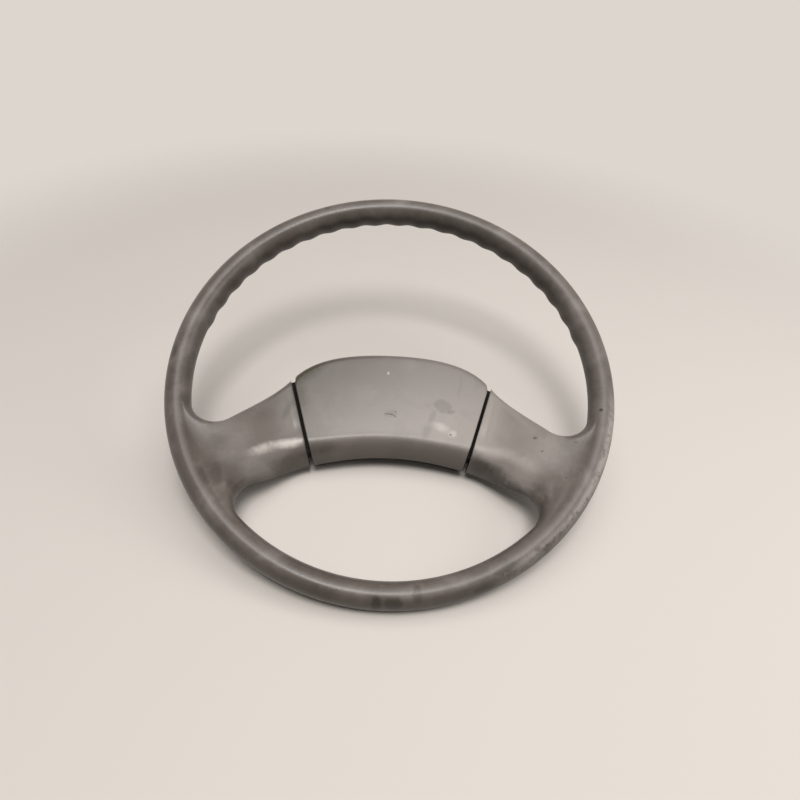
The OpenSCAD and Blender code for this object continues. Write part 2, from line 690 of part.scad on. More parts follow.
corner_us = [for (q = [0:22.5:67.5]) 1 - corner_reach * (1 - cos(q))];
pad_us = concat(-1 * corner_us,
                [for (i = [0:pad_stations]) (1 - corner_reach) * (2 * i / pad_stations - 1)],
                flip(corner_us));
module pad_solid(base, o = 0) {
    rings = [for (u = pad_us) pad_section(u, base, o)];
    m = len(rings[0]);
    n = len(rings);
    ends = [for (i = [0, n - 1]) [for (c = [0:2]) [for (p = rings[i]) p[c]]]];
    mids = [for (e = ends) [for (c = e) (max(c) + min(c)) / 2]];
    faces = concat(
        [for (i = [0:n - 2], k = [0:m - 1]) each quad(i * m + k, i * m + (k + 1) % m,
            (i + 1) * m + (k + 1) % m, (i + 1) * m + k)],
        [for (k = [0:m - 1]) [k, (k + 1) % m, n * m]],
        [for (k = [0:m - 1]) [(n - 1) * m + k, n * m + 1, (n - 1) * m + (k + 1) % m]]);
    polyhedron(concat([for (r = rings) each r], mids), faces, convexity = 6);
}

// Moulded cover of the horn pad: a shell with screw bosses and ribs, open over the ledges
screw_boss_d = 9;
pad_screw_d = 3.5;
pad_head_d = 7;
pad_head_h = 2.4;
pad_screw_bite = 3;
rib_t = 2;
rib_clear = 0.5;
module pad_ribs() {
    high = pad_screw_places[0];
    low = pad_screw_places[1];
    for (y = [high[1], low[1]]) translate([-high[0], y - rib_t / 2, rib_clear])
        cube([2 * high[0], rib_t, face_z]);
    for (x = [-high[0], high[0]]) translate([x - rib_t / 2, low[1], rib_clear])
        cube([rib_t, high[1] - low[1], face_z]);
}
module pad_cover() {
    color("#7d756f") difference() {
        union() {
            difference() {
                pad_solid(lip_z);
                pad_solid(lip_z - 1, pad_wall);
            }
            intersection() {
                pad_solid(lip_z, pad_wall / 2);
                translate([0, 0, pad_plate_z + pad_plate_t]) union() {
                    at(pad_screw_places) cylinder(d = screw_boss_d, h = face_z);
                    pad_ribs();
                }
            }
        }
        at(pad_screw_places) translate([0, 0, pad_plate_z])
            cylinder(d = pad_screw_d, h = pad_plate_t + pad_screw_bite);
        both() ledge_space();
    }
}

module pad_plate() {
    color("#8b8d8f") translate([0, 0, pad_plate_z]) difference() {
        translate([0, pad_mid_y, 0]) linear_extrude(pad_plate_t)
            rounded_plan(pin_x + 22, pin_y + 9, 9);
        translate([0, 0, -1]) cylinder(d = boss_d, h = pad_plate_t + 2);
        translate([0, 0, -1]) at(pin_places) cylinder(d = pin_d - 3, h = pad_plate_t + 2);
        translate([0, 0, -1]) at(pad_screw_places) cylinder(d = pad_screw_d, h = pad_plate_t + 2);
        translate([0, contact_y, -1]) cylinder(d = stud_d / 2, h = pad_plate_t + 2);
    }
}
module pad_screws() {
    color("#9a9c9e") at(pad_screw_places)
        screw(pad_plate_z, pad_plate_t + pad_screw_bite, pad_screw_d, pad_head_d, pad_head_h);
}

// Brass strip and stud under the pad's plate, which meet the fixed contact when pressed
moving_stud_z = fixed_stud_z + fixed_stud_h + horn_travel + contact_gap;
module moving_contact() {
    color("#b08a45") translate([0, contact_y, 0]) {
        translate([0, 0, pad_plate_z - strip_t]) linear_extrude(strip_t)
            rounded_plan(block_screw_x + strip_border, strip_w / 2, strip_border);
        translate([0, 0, moving_stud_z]) cylinder(d1 = stud_d - 2, d2 = stud_d, h = 1);
        translate([0, 0, moving_stud_z + 1])
            cylinder(d = stud_d, h = pad_plate_z - strip_t - moving_stud_z - 1);
        translate([0, 0, pad_plate_z - strip_t]) cylinder(d = stud_d / 2, h = strip_t + pad_plate_t);
        translate([0, 0, pad_plate_z + pad_plate_t]) cylinder(d1 = stud_d - 1, d2 = stud_d / 2, h = 1);
    }
}

// Shouldered pin riveted into the pad's plate, with a groove for its clip
clip_t = 1;
clip_z = bush_low - 0.2 - clip_t;
pin_low = clip_z - 2.5;
module guide_pin() {
    color("#a2a4a7") difference() {
        union() {
            translate([0, 0, pin_low]) cylinder(d1 = pin_d - 2, d2 = pin_d, h = 1);
            translate([0, 0, pin_low + 1]) cylinder(d = pin_d, h = pad_plate_z - pin_low - 1);
            translate([0, 0, pad_plate_z]) cylinder(d = pin_d - 3, h = pad_plate_t);
            translate([0, 0, pad_plate_z + pad_plate_t]) cylinder(d1 = pin_d, d2 = pin_d - 2, h = 1.2);
        }
        translate([0, 0, clip_z]) difference() {
            cylinder(d = pin_d + 1, h = clip_t);
            cylinder(d = pin_d - 2, h = clip_t);
        }
    }
}
module pin_clip() {
    color("#6d6f71") translate([0, 0, clip_z]) difference() {
        cylinder(d = pin_d + 7, h = clip_t);
        translate([0, 0, -1]) cylinder(d = pin_d - 2, h = clip_t + 2);
        translate([0, -(pin_d - 3) / 2, -1]) cube([pin_d + 7, pin_d - 3, clip_t + 2]);
    }
}

// Moulded cover behind the hub, a shallow tray with four screw posts
cover_z = 3;
cover_wall = 2.5;
cover_top = lip_z - horn_travel - 0.6;
cover_edge = 2.5;
cover_rib_t = 1.6;
cover_rib_h = 5;
function cover_outline(o) = let (
        steps = 8,
        half = [for (i = [0:steps]) bezier(pad_top_line(o), i / steps)],
        low = [for (i = [steps:-1:0]) bezier(pad_low_line(o), i / steps)],
        right = concat(half, low))
    concat(right, [for (i = [len(right) - 2:-1:1]) [-right[i][0], right[i][1]]]);
module cover_tray() {
    rings = [for (q = [90:-30:0]) [for (p = cover_outline(cover_in + cover_edge * (1 - cos(q))))
                 flat3(p, cover_z + cover_edge * (1 - sin(q)))],
             [for (p = cover_outline(cover_in)) flat3(p, cover_top)]];
    loft(rings);
}
module cover_ribs() {
    for (x = [-1, 1], y = [-1, 0, 1])
        translate([x > 0 ? cover_hole_d / 2 : -rim_r, y * 22 - cover_rib_t / 2, 0])
            cube([rim_r - cover_hole_d / 2, cover_rib_t, cover_rib_h]);
}
module rear_cover() {
    color("#2e2f31") difference() {
        union() {
            difference() {
                cover_tray();
                translate([0, 0, cover_z + cover_wall]) linear_extrude(cover_top)
                    polygon(cover_outline(cover_in + cover_wall));
            }
            intersection() {
                linear_extrude(plate_z - 2) polygon(cover_outline(cover_in + cover_wall / 2));
                translate([0, 0, cover_z + cover_wall / 2]) cover_ribs();
            }
            at(cover_screw_places) translate([0, 0, cover_z])
                cylinder(d = cover_post_d, h = plate_z - cover_z);
            translate([0, 0, cover_z]) cylinder(d = cover_hole_d + 2 * cover_wall, h = cover_rib_h);
        }
        cylinder(d = cover_hole_d, h = rim_z);
        at(cover_screw_places) cylinder(d = cover_screw_d + 4 * screw_gap, h = plate_z + 1);
        at(cover_screw_places) cylinder(d = cover_head_d + 6 * screw_gap, h = cover_z + cover_seat);
    }
}
module rear_cover_screws() {
    color("#9a9c9e") at(cover_screw_places)
        screw(cover_z + cover_seat, plate_z + plate_t - cover_z - cover_seat, cover_screw_d,
              cover_head_d, cover_head_h);
}

grip();
rim_tube();
spoke_frame();
hub_boss();
ring_carrier();
slip_ring();
carrier_screws();
rear_cover();
rear_cover_screws();
contact_block();
fixed_contact();
block_screws();
horn_lead();
at([pin_places[0]]) guide_bush();  // guide_bush_1
at([pin_places[1]]) guide_bush();  // guide_bush_2
at([pin_places[2]]) guide_bush();  // guide_bush_3
at([pin_places[3]]) guide_bush();  // guide_bush_4
at([pin_places[0]]) horn_spring();  // horn_spring_1
at([pin_places[1]]) horn_spring();  // horn_spring_2
at([pin_places[2]]) horn_spring();  // horn_spring_3
at([pin_places[3]]) horn_spring();  // horn_spring_4
pad_cover();
pad_plate();
pad_screws();
moving_contact();
at([pin_places[0]]) guide_pin();  // guide_pin_1
at([pin_places[1]]) guide_pin();  // guide_pin_2
at([pin_places[2]]) guide_pin();  // guide_pin_3
at([pin_places[3]]) guide_pin();  // guide_pin_4
at([pin_places[0]]) pin_clip();  // pin_clip_1
at([pin_places[1]]) pin_clip();  // pin_clip_2
at([pin_places[2]]) pin_clip();  // pin_clip_3
at([pin_places[3]]) pin_clip();  // pin_clip_4
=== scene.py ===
"""The look of a two-spoke steering wheel of a light truck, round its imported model.

The form functions work in millimetres in the wheel's frame: the origin is on the column's axis at
the boss's rear face, +Z points to the driver and +Y to 12 o'clock. MM turns a length into metres.
"""
import math

import bmesh
import bpy
import numpy as np
from mathutils import Matrix, Vector


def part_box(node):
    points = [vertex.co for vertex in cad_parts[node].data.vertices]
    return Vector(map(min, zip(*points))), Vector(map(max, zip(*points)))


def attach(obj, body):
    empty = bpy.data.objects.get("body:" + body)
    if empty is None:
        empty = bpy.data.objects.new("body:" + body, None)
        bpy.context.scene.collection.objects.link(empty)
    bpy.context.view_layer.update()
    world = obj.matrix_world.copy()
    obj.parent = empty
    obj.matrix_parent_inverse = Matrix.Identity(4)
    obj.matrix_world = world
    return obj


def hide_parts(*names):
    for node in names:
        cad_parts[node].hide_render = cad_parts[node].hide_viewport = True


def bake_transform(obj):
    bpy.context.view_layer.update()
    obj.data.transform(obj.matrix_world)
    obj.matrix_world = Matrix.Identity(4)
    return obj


MM = 0.001
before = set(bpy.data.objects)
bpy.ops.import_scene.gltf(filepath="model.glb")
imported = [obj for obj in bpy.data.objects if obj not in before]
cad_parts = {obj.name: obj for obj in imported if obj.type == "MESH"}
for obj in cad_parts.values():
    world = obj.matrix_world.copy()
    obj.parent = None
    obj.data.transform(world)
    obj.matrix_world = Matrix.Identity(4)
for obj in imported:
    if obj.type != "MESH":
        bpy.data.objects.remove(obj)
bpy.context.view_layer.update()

# Rim
RIM_W = 25
RIM_H = 31
RIM_Z = 80
RIM_R = 212.5
RIM_IN = RIM_R - RIM_W / 2
BUMP_N = 21
BUMP_PITCH = 7.25
BUMP_H = 1.5
BUMP_SIDE = 215
BUMP_HALF = 85
BUMP_FROM = 90 - BUMP_N * BUMP_PITCH / 2

# Spokes
EDGE_SLOPE = 49
UPPER_FILLET = 21
LOWER_FILLET = 25
LOWER_REACH = 142.5
SLOT_TOP = np.array([108.5, 12.5])
SLOT_LOW = np.array([81.0, -79.0])
SPOKE_T = 29
EDGE_ROUND = 10
FLANK_W = 23
FLANK_SWELL = 16
UNDER_ROUND = 8
SIDE_SPAN = 54
LEAVE_FACE = 85
LEAVE_BACK = 30
LOW_END = 59
LOW_SLOPE = 14
FLANK_BEND = 1.9
BEND_BY = 0.5

# Horn pad
FACE_Z = 48
CROWN_DROP = 2
SLOT_Z = FACE_Z - CROWN_DROP
SLOT_BASE = SLOT_Z - SPOKE_T
LIP_Z = 24
PAD_TOP_Y = 47.5
PAD_TOP_FLAT = 55
PAD_LOW_Y = 67
PAD_LOW_FLAT = 30
PAD_LOW_TURN = 25
SLOT_W = 3.2
PAD_WALL = 3.5
PAD_FLANK = 20
CORNER_R = 4
PAD_TOP_TURN = 28
FACE_CROWN = 3
HORN_TRAVEL = 2.2
RUN_ROOM = 0.8
COVER_IN = 5

# Ledge on a spoke's end, under the pad's end
LEDGE_Z = 33
LEDGE_INSET = 0.8
LEDGE_SHORT = 12
LEDGE_SEAT = 2
LEDGE_L = SLOT_W + COVER_IN - 0.5
LEDGE_ROWS = 12


def way(angle):
    return np.array([math.cos(math.radians(angle)), math.sin(math.radians(angle))])


def unit(v):
    return v / np.linalg.norm(v)


def mix(a, b, t):
    return a * (1 - t) + b * t


def ease(t):
    return t * t * (3 - 2 * t)


def rise(value, start, length):
    """0 at start and 1 a length further on, with a soft change between; a negative length goes back."""
    return ease(np.clip((value - start) / length, 0, 1))


def flat3(p, z):
    return np.array([p[0], p[1], z])


def bezier(p, t):
    s = 1 - t
    return s**3 * p[0] + 3 * s * s * t * p[1] + 3 * s * t * t * p[2] + t**3 * p[3]


def hermite(a, ta, b, tb, t):
    """Cubic through a and b with the tangents ta and tb."""
    return ((2 * t**3 - 3 * t * t + 1) * a + (t**3 - 2 * t * t + t) * ta
            + (3 * t * t - 2 * t**3) * b + (t**3 - t * t) * tb)


# Corner circles between the rim and the spoke's edges
EDGE_IN = 270 - EDGE_SLOPE
EDGE_AWAY = SLOT_TOP @ way(90 - EDGE_SLOPE) + UPPER_FILLET
EDGE_RUN = math.sqrt((RIM_IN - UPPER_FILLET) ** 2 - EDGE_AWAY**2)
UP_C = EDGE_AWAY * way(90 - EDGE_SLOPE) + EDGE_RUN * way(-EDGE_SLOPE)
UP_A = math.degrees(math.atan2(UP_C[1], UP_C[0]))
UP_TANGENT = UP_C + UPPER_FILLET * way(EDGE_IN)
UP_ARC = math.radians(UPPER_FILLET * (UP_A + 360 - EDGE_IN))
UP_LINE = np.linalg.norm(UP_TANGENT - SLOT_TOP)

LOW_X = LOWER_REACH - LOWER_FILLET
LOW_C = np.array([LOW_X, -math.sqrt((RIM_IN - LOWER_FILLET) ** 2 - LOW_X**2)])
LOW_A = math.degrees(math.atan2(LOW_C[1], LOW_C[0]))
LOW_TANGENT = LOW_C + LOWER_FILLET * way(LOW_END)
LOW_ARC = math.radians(LOWER_FILLET * (LOW_END - LOW_A))
LOW_LINE = np.linalg.norm(LOW_TANGENT - SLOT_LOW)
LOW_CURVE = [LOW_TANGENT, LOW_TANGENT + LOW_LINE / 3 * way(LOW_END + 90),
             SLOT_LOW + LOW_LINE / 3 * way(-LOW_SLOPE), SLOT_LOW]

SLOT_LEN = np.linalg.norm(SLOT_LOW - SLOT_TOP)
SLOT_DIR = (SLOT_LOW - SLOT_TOP) / SLOT_LEN
SLOT_NORM = np.array([SLOT_DIR[1], -SLOT_DIR[0]])


def ring_point(a, p):
    """A point on the rim: a degrees round the wheel, p round its section, 0 outside, 90 in front."""
    n = (a - BUMP_FROM) / BUMP_PITCH
    lift = 0.0
    if 0 < n < BUMP_N and abs(p - BUMP_SIDE) < BUMP_HALF:
        side = math.cos(math.radians((p - BUMP_SIDE) * 90 / BUMP_HALF)) ** 2
        lift = BUMP_H * side * (1 - math.cos(math.radians(360 * n))) / 2
    q = way(p)
    reach = RIM_R + (RIM_W / 2 + lift) * q[0]
    return flat3(reach * way(a), RIM_Z + (RIM_H / 2 + lift) * q[1])


def up_edge(s):
    run = s * (UP_ARC + UP_LINE)
    if run < UP_ARC:
        return UP_C + UPPER_FILLET * way(UP_A - math.degrees(run / UPPER_FILLET))
    return mix(UP_TANGENT, SLOT_TOP, (run - UP_ARC) / UP_LINE)


def up_in(s):
    run = s * (UP_ARC + UP_LINE)
    return way(UP_A - math.degrees(run / UPPER_FILLET)) if run < UP_ARC else way(EDGE_IN)


def low_edge(s):
    run = s * (LOW_ARC + LOW_LINE)
    if run < LOW_ARC:
        return LOW_C + LOWER_FILLET * way(LOW_A + math.degrees(run / LOWER_FILLET))
    return bezier(LOW_CURVE, (run - LOW_ARC) / LOW_LINE)


def low_in(s):
    run = s * (LOW_ARC + LOW_LINE)
    if run < LOW_ARC:
        return way(LOW_A + math.degrees(run / LOWER_FILLET))
    return way(mix(LOW_END, 90 - LOW_SLOPE, (run - LOW_ARC) / LOW_LINE))


def up_side(s, q):
    """A point on the right spoke's rounded upper edge, q degrees from its widest line."""
    deep = mix(RIM_W / 2, EDGE_ROUND, ease(s))
    half = mix(RIM_H / 2, SPOKE_T / 2, ease(s))
    middle = mix(RIM_Z, (SLOT_Z + SLOT_BASE) / 2, ease(s))
    c, h = way(q)
    return flat3(up_edge(s) + unit(mix(up_in(s), SLOT_DIR, s**3)) * deep * (1 - c), middle + half * h)


def low_half(s, front):
    return mix(RIM_H / 2, SLOT_Z - LIP_Z if front else LIP_Z - SLOT_BASE, ease(s))


def low_deep(s, front):
    swell = FLANK_SWELL * s * s * (1 - s) if front else 0.0
    return mix(RIM_W / 2, FLANK_W if front else UNDER_ROUND, ease(s)) + swell


def low_side(s, q):
    """A point on the right spoke's lower flank or its rounded underside."""
    c, h = way(q)
    if q > 0:
        h = h ** mix(1, FLANK_BEND, ease(min(1, s / BEND_BY)))
    inward = unit(mix(low_in(s), -SLOT_DIR, s**3))
    return flat3(low_edge(s) + inward * low_deep(s, q > 0) * (1 - c),
                 mix(RIM_Z, LIP_Z, ease(s)) + low_half(s, q > 0) * h)


def quarter(t, bend=1):
    """Height of a rounded edge at a share of its depth; a bend of 1 is round, of 2 falls like a chute."""
    return 1.0 if t >= 1 else (1 - (1 - t) ** 2) ** (bend / 2)


def slot_point(v, k):
    """A point of the section at the slot, v down the slot line, k = 1 in front and -1 behind."""
    turn = 1 - way(SIDE_SPAN)[0]
    deep = low_deep(1, k > 0)
    t = mix(EDGE_ROUND * turn, SLOT_LEN - deep * turn, (1 - math.cos(math.pi * v)) / 2)
    if t < EDGE_ROUND:
        z = (SLOT_Z + SLOT_BASE) / 2 + k * SPOKE_T / 2 * quarter(t / EDGE_ROUND)
    else:
        z = LIP_Z + k * low_half(1, k > 0) * quarter((SLOT_LEN - t) / deep, FLANK_BEND if k > 0 else 1)
    return flat3(SLOT_TOP + SLOT_DIR * t, z)


STEP = 0.001


def rim_leave(v, k):
    """Tangent of the spoke's face where it leaves the rim."""
    a = mix(UP_A, LOW_A, v)
    side = up_side if v < 0.5 else low_side
    rate = np.linalg.norm(side(STEP, k * SIDE_SPAN) - side(0, k * SIDE_SPAN)) / STEP
    c, h = way(SIDE_SPAN)
    across = unit(np.array([-RIM_W * h, -k * RIM_H * c]))
    out = flat3(across[0] * way(a), across[1])
    round_way = flat3(way(a + 90), 0)
    return (-math.cos(math.pi * v) * rate * round_way
            + math.sin(math.pi * v) * (LEAVE_FACE if k > 0 else LEAVE_BACK) * out)


def across_line(v, k):
    """Ends and end tangents of the face's line v, from the rim to the slot."""
    up = up_side(1, k * SIDE_SPAN) - up_side(1 - STEP, k * SIDE_SPAN)
    low = low_side(1, k * SIDE_SPAN) - low_side(1 - STEP, k * SIDE_SPAN)
    return (ring_point(mix(UP_A, LOW_A, v), 180 - k * SIDE_SPAN), rim_leave(v, k),
            slot_point(v, k), mix(up, low, v) / STEP)


LINES = {}


def across_curve(v, k, s):
    key = (round(v, 6), k)
    if key not in LINES:
        LINES[key] = across_line(v, k)
    return hermite(*LINES[key], s)


def face_point(s, v, k):
    """A point on the right spoke's face (k = 1) or back (k = -1)."""
    frame_part = mix(up_side(s, k * SIDE_SPAN), low_side(s, k * SIDE_SPAN), v)
    blend = mix(across_curve(0.0, k, s), across_curve(1.0, k, s), v)
    return frame_part + across_curve(v, k, s) - blend


# Mesh density of the grip's skin
RING_SIDES = 80
BUMP_STEPS = 12
ROOT_STEPS = 36
GAP_STEPS = 16
LOW_STEPS = 96
SPOKE_STEPS = 44
ROW_FACE = RING_SIDES // 2 - SIDE_SPAN * RING_SIDES // 360
ROW_BACK = RING_SIDES // 2 + SIDE_SPAN * RING_SIDES // 360
SIDE_STEPS = ROW_BACK - ROW_FACE
LOOP_N = 2 * (SIDE_STEPS + ROOT_STEPS)
SLOT_ROUND = 1.2
ROUND_STEPS = 4


def spread(a, b, n):
    return [mix(a, b, i / n) for i in range(n)]


BUMP_TO = BUMP_FROM + BUMP_N * BUMP_PITCH
STATIONS = (spread(BUMP_FROM, BUMP_TO, BUMP_N * BUMP_STEPS) + spread(BUMP_TO, 180 - UP_A, GAP_STEPS)
            + spread(180 - UP_A, 180 - LOW_A, ROOT_STEPS) + spread(180 - LOW_A, 360 + LOW_A, LOW_STEPS)
            + spread(360 + LOW_A, 360 + UP_A, ROOT_STEPS) + spread(360 + UP_A, 360 + BUMP_FROM, GAP_STEPS))
LEFT_ROOT = BUMP_N * BUMP_STEPS + GAP_STEPS
RIGHT_ROOT = LEFT_ROOT + 2 * ROOT_STEPS + LOW_STEPS


def loop_place(k):
    """Column and row of step k on the spoke's loop: upper edge, back, lower edge, face."""
    if k < SIDE_STEPS:
        return 0, k
    if k < SIDE_STEPS + ROOT_STEPS:
        return k - SIDE_STEPS, SIDE_STEPS
    if k < 2 * SIDE_STEPS + ROOT_STEPS:
        return ROOT_STEPS, 2 * SIDE_STEPS + ROOT_STEPS - k
    return LOOP_N - k, 0


def spoke_point(s, k):
    column, row = loop_place(k)
    q = SIDE_SPAN * (1 - 2 * row / SIDE_STEPS)
    if column == 0:
        return up_side(s, q)
    if column == ROOT_STEPS:
        return low_side(s, q)
    return face_point(s, column / ROOT_STEPS, 1 if row == 0 else -1)


def loop_normals(loop, before):
    """Directions into the solid at the points of a loop, given the loop just before it."""
    along = np.roll(loop, -1, 0) - np.roll(loop, 1, 0)
    n = np.cross(along, loop - before)
    return n / np.linalg.norm(n, axis=1)[:, None]


# Hollow in the spoke's lower flank, its raised crest and the shallow dish above: distances from the
# lower edge in millimetres, and shares of the way from the rim to the slot where they set in and fade
SHOULDER_AT = 8
SHOULDER_SPREAD = 8
SHOULDER_DEEP = 3.0
SHOULDER_START = 0.2
SHOULDER_GROW = 0.3
SHOULDER_FADE = 0.5
CREST_AT = 25
CREST_SPREAD = 5
CREST_RISE = 0.6
CREST_START = 0.4
CREST_GROW = 0.4
DISH_AT = 36
DISH_SPREAD = 7
DISH_DEEP = 0.9
FRONT_GROW = 0.6

# One smooth slope over the seam between the lower edge and the face
FAIR_FROM = 4
FAIR_TO = 18
FAIR_STEPS = 16
FAIR_PROBE = 0.5
FAIR_GROW = 0.3
FAIR_FADE = 0.1

# Shallow groove beside the slot, with the narrow lip that it leaves
LIP_W = 4.5
LIP_SPREAD = 4
LIP_FRONT = 0.3
GROOVE_W = 1.8
GROOVE_DEEP = 0.55
GROOVE_GROW = 0.15
GROOVE_TO = 0.74
GROOVE_FADE = 0.1

# Spacing of the spoke's loops, and the end wall's rings towards its middle
LOOP_CROWDING = 1.2
END_RINGS = (0.02, 0.3, 0.6, 0.9)


def lip_dent(loop):
    """Sinks the groove that leaves a narrow lip along the slot."""
    to_slot = (loop[:, :2] - SLOT_TOP) @ -SLOT_NORM
    down = (loop[:, :2] - SLOT_TOP) @ SLOT_DIR / SLOT_LEN
    front = loop[:, 2] > (SLOT_Z + SLOT_BASE) / 2 + SPOKE_T * LIP_FRONT
    groove = np.exp(-((to_slot - LIP_W - LIP_SPREAD * down) / GROOVE_W) ** 2)
    fade = np.clip(down / GROOVE_GROW, 0, 1) * np.clip((GROOVE_TO - down) / GROOVE_FADE, 0, 1)
    loop[:, 2] -= np.where(front, GROOVE_DEEP * groove * fade, 0)
    return loop


def fair_flank(loop, from_edge, s):
    """Replaces the heights near the seam by one cubic that leaves the slopes at its ends as they are."""
    start = SIDE_STEPS + ROOT_STEPS + SIDE_STEPS // 2
    steps = [k % LOOP_N for k in range(start, start + SIDE_STEPS // 2 + FAIR_STEPS)]
    d, z = from_edge[steps], loop[steps, 2]
    ends = [np.interp((at - FAIR_PROBE, at, at + FAIR_PROBE), d, z) for at in (FAIR_FROM, FAIR_TO)]
    width = FAIR_TO - FAIR_FROM
    t = np.clip((d - FAIR_FROM) / width, 0, 1)
    slopes = [(end[2] - end[0]) / (2 * FAIR_PROBE) * width for end in ends]
    fair = hermite(ends[0][1], slopes[0], ends[1][1], slopes[1], t)
    share = rise(s, 0, FAIR_GROW) * rise(s, 1, -FAIR_FADE)
    loop[steps, 2] = np.where((t > 0) & (t < 1), mix(z, fair, share), z)


def loop_at(s):
    """The spoke's section at a share s of its way from the rim to the slot."""
    loop = np.array([spoke_point(s, k) for k in range(LOOP_N)])
    inward = unit(mix(low_in(s), -SLOT_DIR, s**3))
    from_edge = (loop[:, :2] - low_edge(s)) @ inward
    height = (loop[:, 2] - mix(RIM_Z, LIP_Z, ease(s))) / low_half(s, True)
    front = rise(height, 0, FRONT_GROW)

    def hump(at, spread):
        return front * np.exp(-((from_edge - at) / spread) ** 2)

    late = rise(s, CREST_START, CREST_GROW)
    between = rise(s, SHOULDER_START, SHOULDER_GROW) * rise(s, 1, -SHOULDER_FADE)
    crest, dish = CREST_RISE * hump(CREST_AT, CREST_SPREAD), DISH_DEEP * hump(DISH_AT, DISH_SPREAD)
    loop[:, 2] += late * (crest - dish)
    loop[:, 2] -= between * SHOULDER_DEEP * hump(SHOULDER_AT, SHOULDER_SPREAD)
    fair_flank(loop, from_edge, s)
    return loop


def spoke_loops():
    """Loops of the right spoke from its root to the slot, then over the slot's edge to its wall."""
    stops = [(i / SPOKE_STEPS) ** LOOP_CROWDING for i in range(1, SPOKE_STEPS + 1)]
    last, near = loop_at(1.0), loop_at(1 - STEP)
    rate = np.linalg.norm(last - near, axis=1) / STEP
    inward = loop_normals(last, near)
    stop = 1 - SLOT_ROUND / rate.mean()
    loops = [lip_dent(loop_at(s * stop)) for s in stops]
    travel = (last - near) / STEP / rate[:, None]
    for i in range(1, ROUND_STEPS + 1):
        c, h = way(90 * i / ROUND_STEPS)
        loops.append(last - travel * SLOT_ROUND * (1 - h) + inward * SLOT_ROUND * (1 - c))
    edge = loops[-1]
    return loops + [mix(edge, edge.mean(0), share) for share in END_RINGS]


def prism(outline, start, stop):
    """A solid beside the right slot: its outline is given along the slot and in height, and it runs
    from start to stop towards the hub. What is cut away has its outline run back along the slot at the
    top, so that the faces point outwards."""
    n = len(outline)
    points = [flat3(SLOT_TOP + SLOT_DIR * t + SLOT_NORM * d, z) for d in (start, stop) for t, z in outline]
    faces = [(i, (i + 1) % n, n + (i + 1) % n, n + i) for i in range(n)]
    return points, faces + [tuple(range(n - 1, -1, -1)), tuple(range(n, 2 * n))]


def both_ways(points, faces):
    """A form and its mirror image on the left."""
    n = len(points)
    left = [np.array([-p[0], p[1], p[2]]) for p in points]
    return points + left, faces + [tuple(n + i for i in face[::-1]) for face in faces]


def ledge():
    """Ledge of the right spoke under the pad's end, which closes the slot from behind."""
    outline = []
    for i in range(LEDGE_ROWS + 1):
        z = mix(SLOT_BASE + LEDGE_INSET, LEDGE_Z, (i / LEDGE_ROWS) ** 2)
        share = (z - (SLOT_Z + SLOT_BASE) / 2) / (SPOKE_T / 2)
        outline.append((EDGE_ROUND * (1 - math.sqrt(1 - share**2)) + LEDGE_INSET, z))
    end = SLOT_LEN - LEDGE_SHORT
    return prism(outline + [(end, LEDGE_Z), (end, SLOT_BASE + LEDGE_INSET)], -LEDGE_SEAT, LEDGE_L)


def new_object(name, points, faces):
    mesh = bpy.data.meshes.new(name)
    mesh.from_pydata([tuple(MM * c for c in p) for p in points], [], faces)
    mesh.validate()
    made = bpy.data.objects.new(name, mesh)
    bpy.context.scene.collection.objects.link(made)
    return made


def carve(piece, form, operation, crossing):
    """Cuts a form out of a piece, or joins it on; crossing forms pass through themselves."""
    tool = new_object("tool", *form)
    modifier = piece.modifiers.new("carve", "BOOLEAN")
    modifier.operation = operation
    modifier.solver = "EXACT"
    modifier.use_self = crossing
    modifier.object = tool
    result = bpy.data.meshes.new_from_object(piece.evaluated_get(bpy.context.evaluated_depsgraph_get()))
    piece.modifiers.clear()
    piece.data = result
    bpy.data.objects.remove(tool)


def drop_strays(mesh):
    """Deletes the few slivers that carving leaves hanging by an open edge."""
    form = bmesh.new()
    form.from_mesh(mesh)
    strays = [face for face in form.faces if any(edge.is_boundary for edge in face.edges)]
    bmesh.ops.delete(form, geom=strays, context="FACES")
    form.to_mesh(mesh)
    form.free()


def new_piece(name, form, body, material, sharp, cuts=()):
    """A mesh piece that rides on a body, with forms cut out or joined on, smooth up to an angle."""
    piece = new_object(name, *form)
    for operation, tool, crossing in cuts:
        carve(piece, tool, operation, crossing)
    mesh = piece.data
    mesh.validate()  # carving leaves a few collapsed faces, too
    drop_strays(mesh)
    mesh.polygons.foreach_set("use_smooth", [True] * len(mesh.polygons))
    mesh.set_sharp_from_angle(angle=math.radians(sharp))
    mesh.materials.clear()
    mesh.materials.append(material)
    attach(piece, body)
    return piece


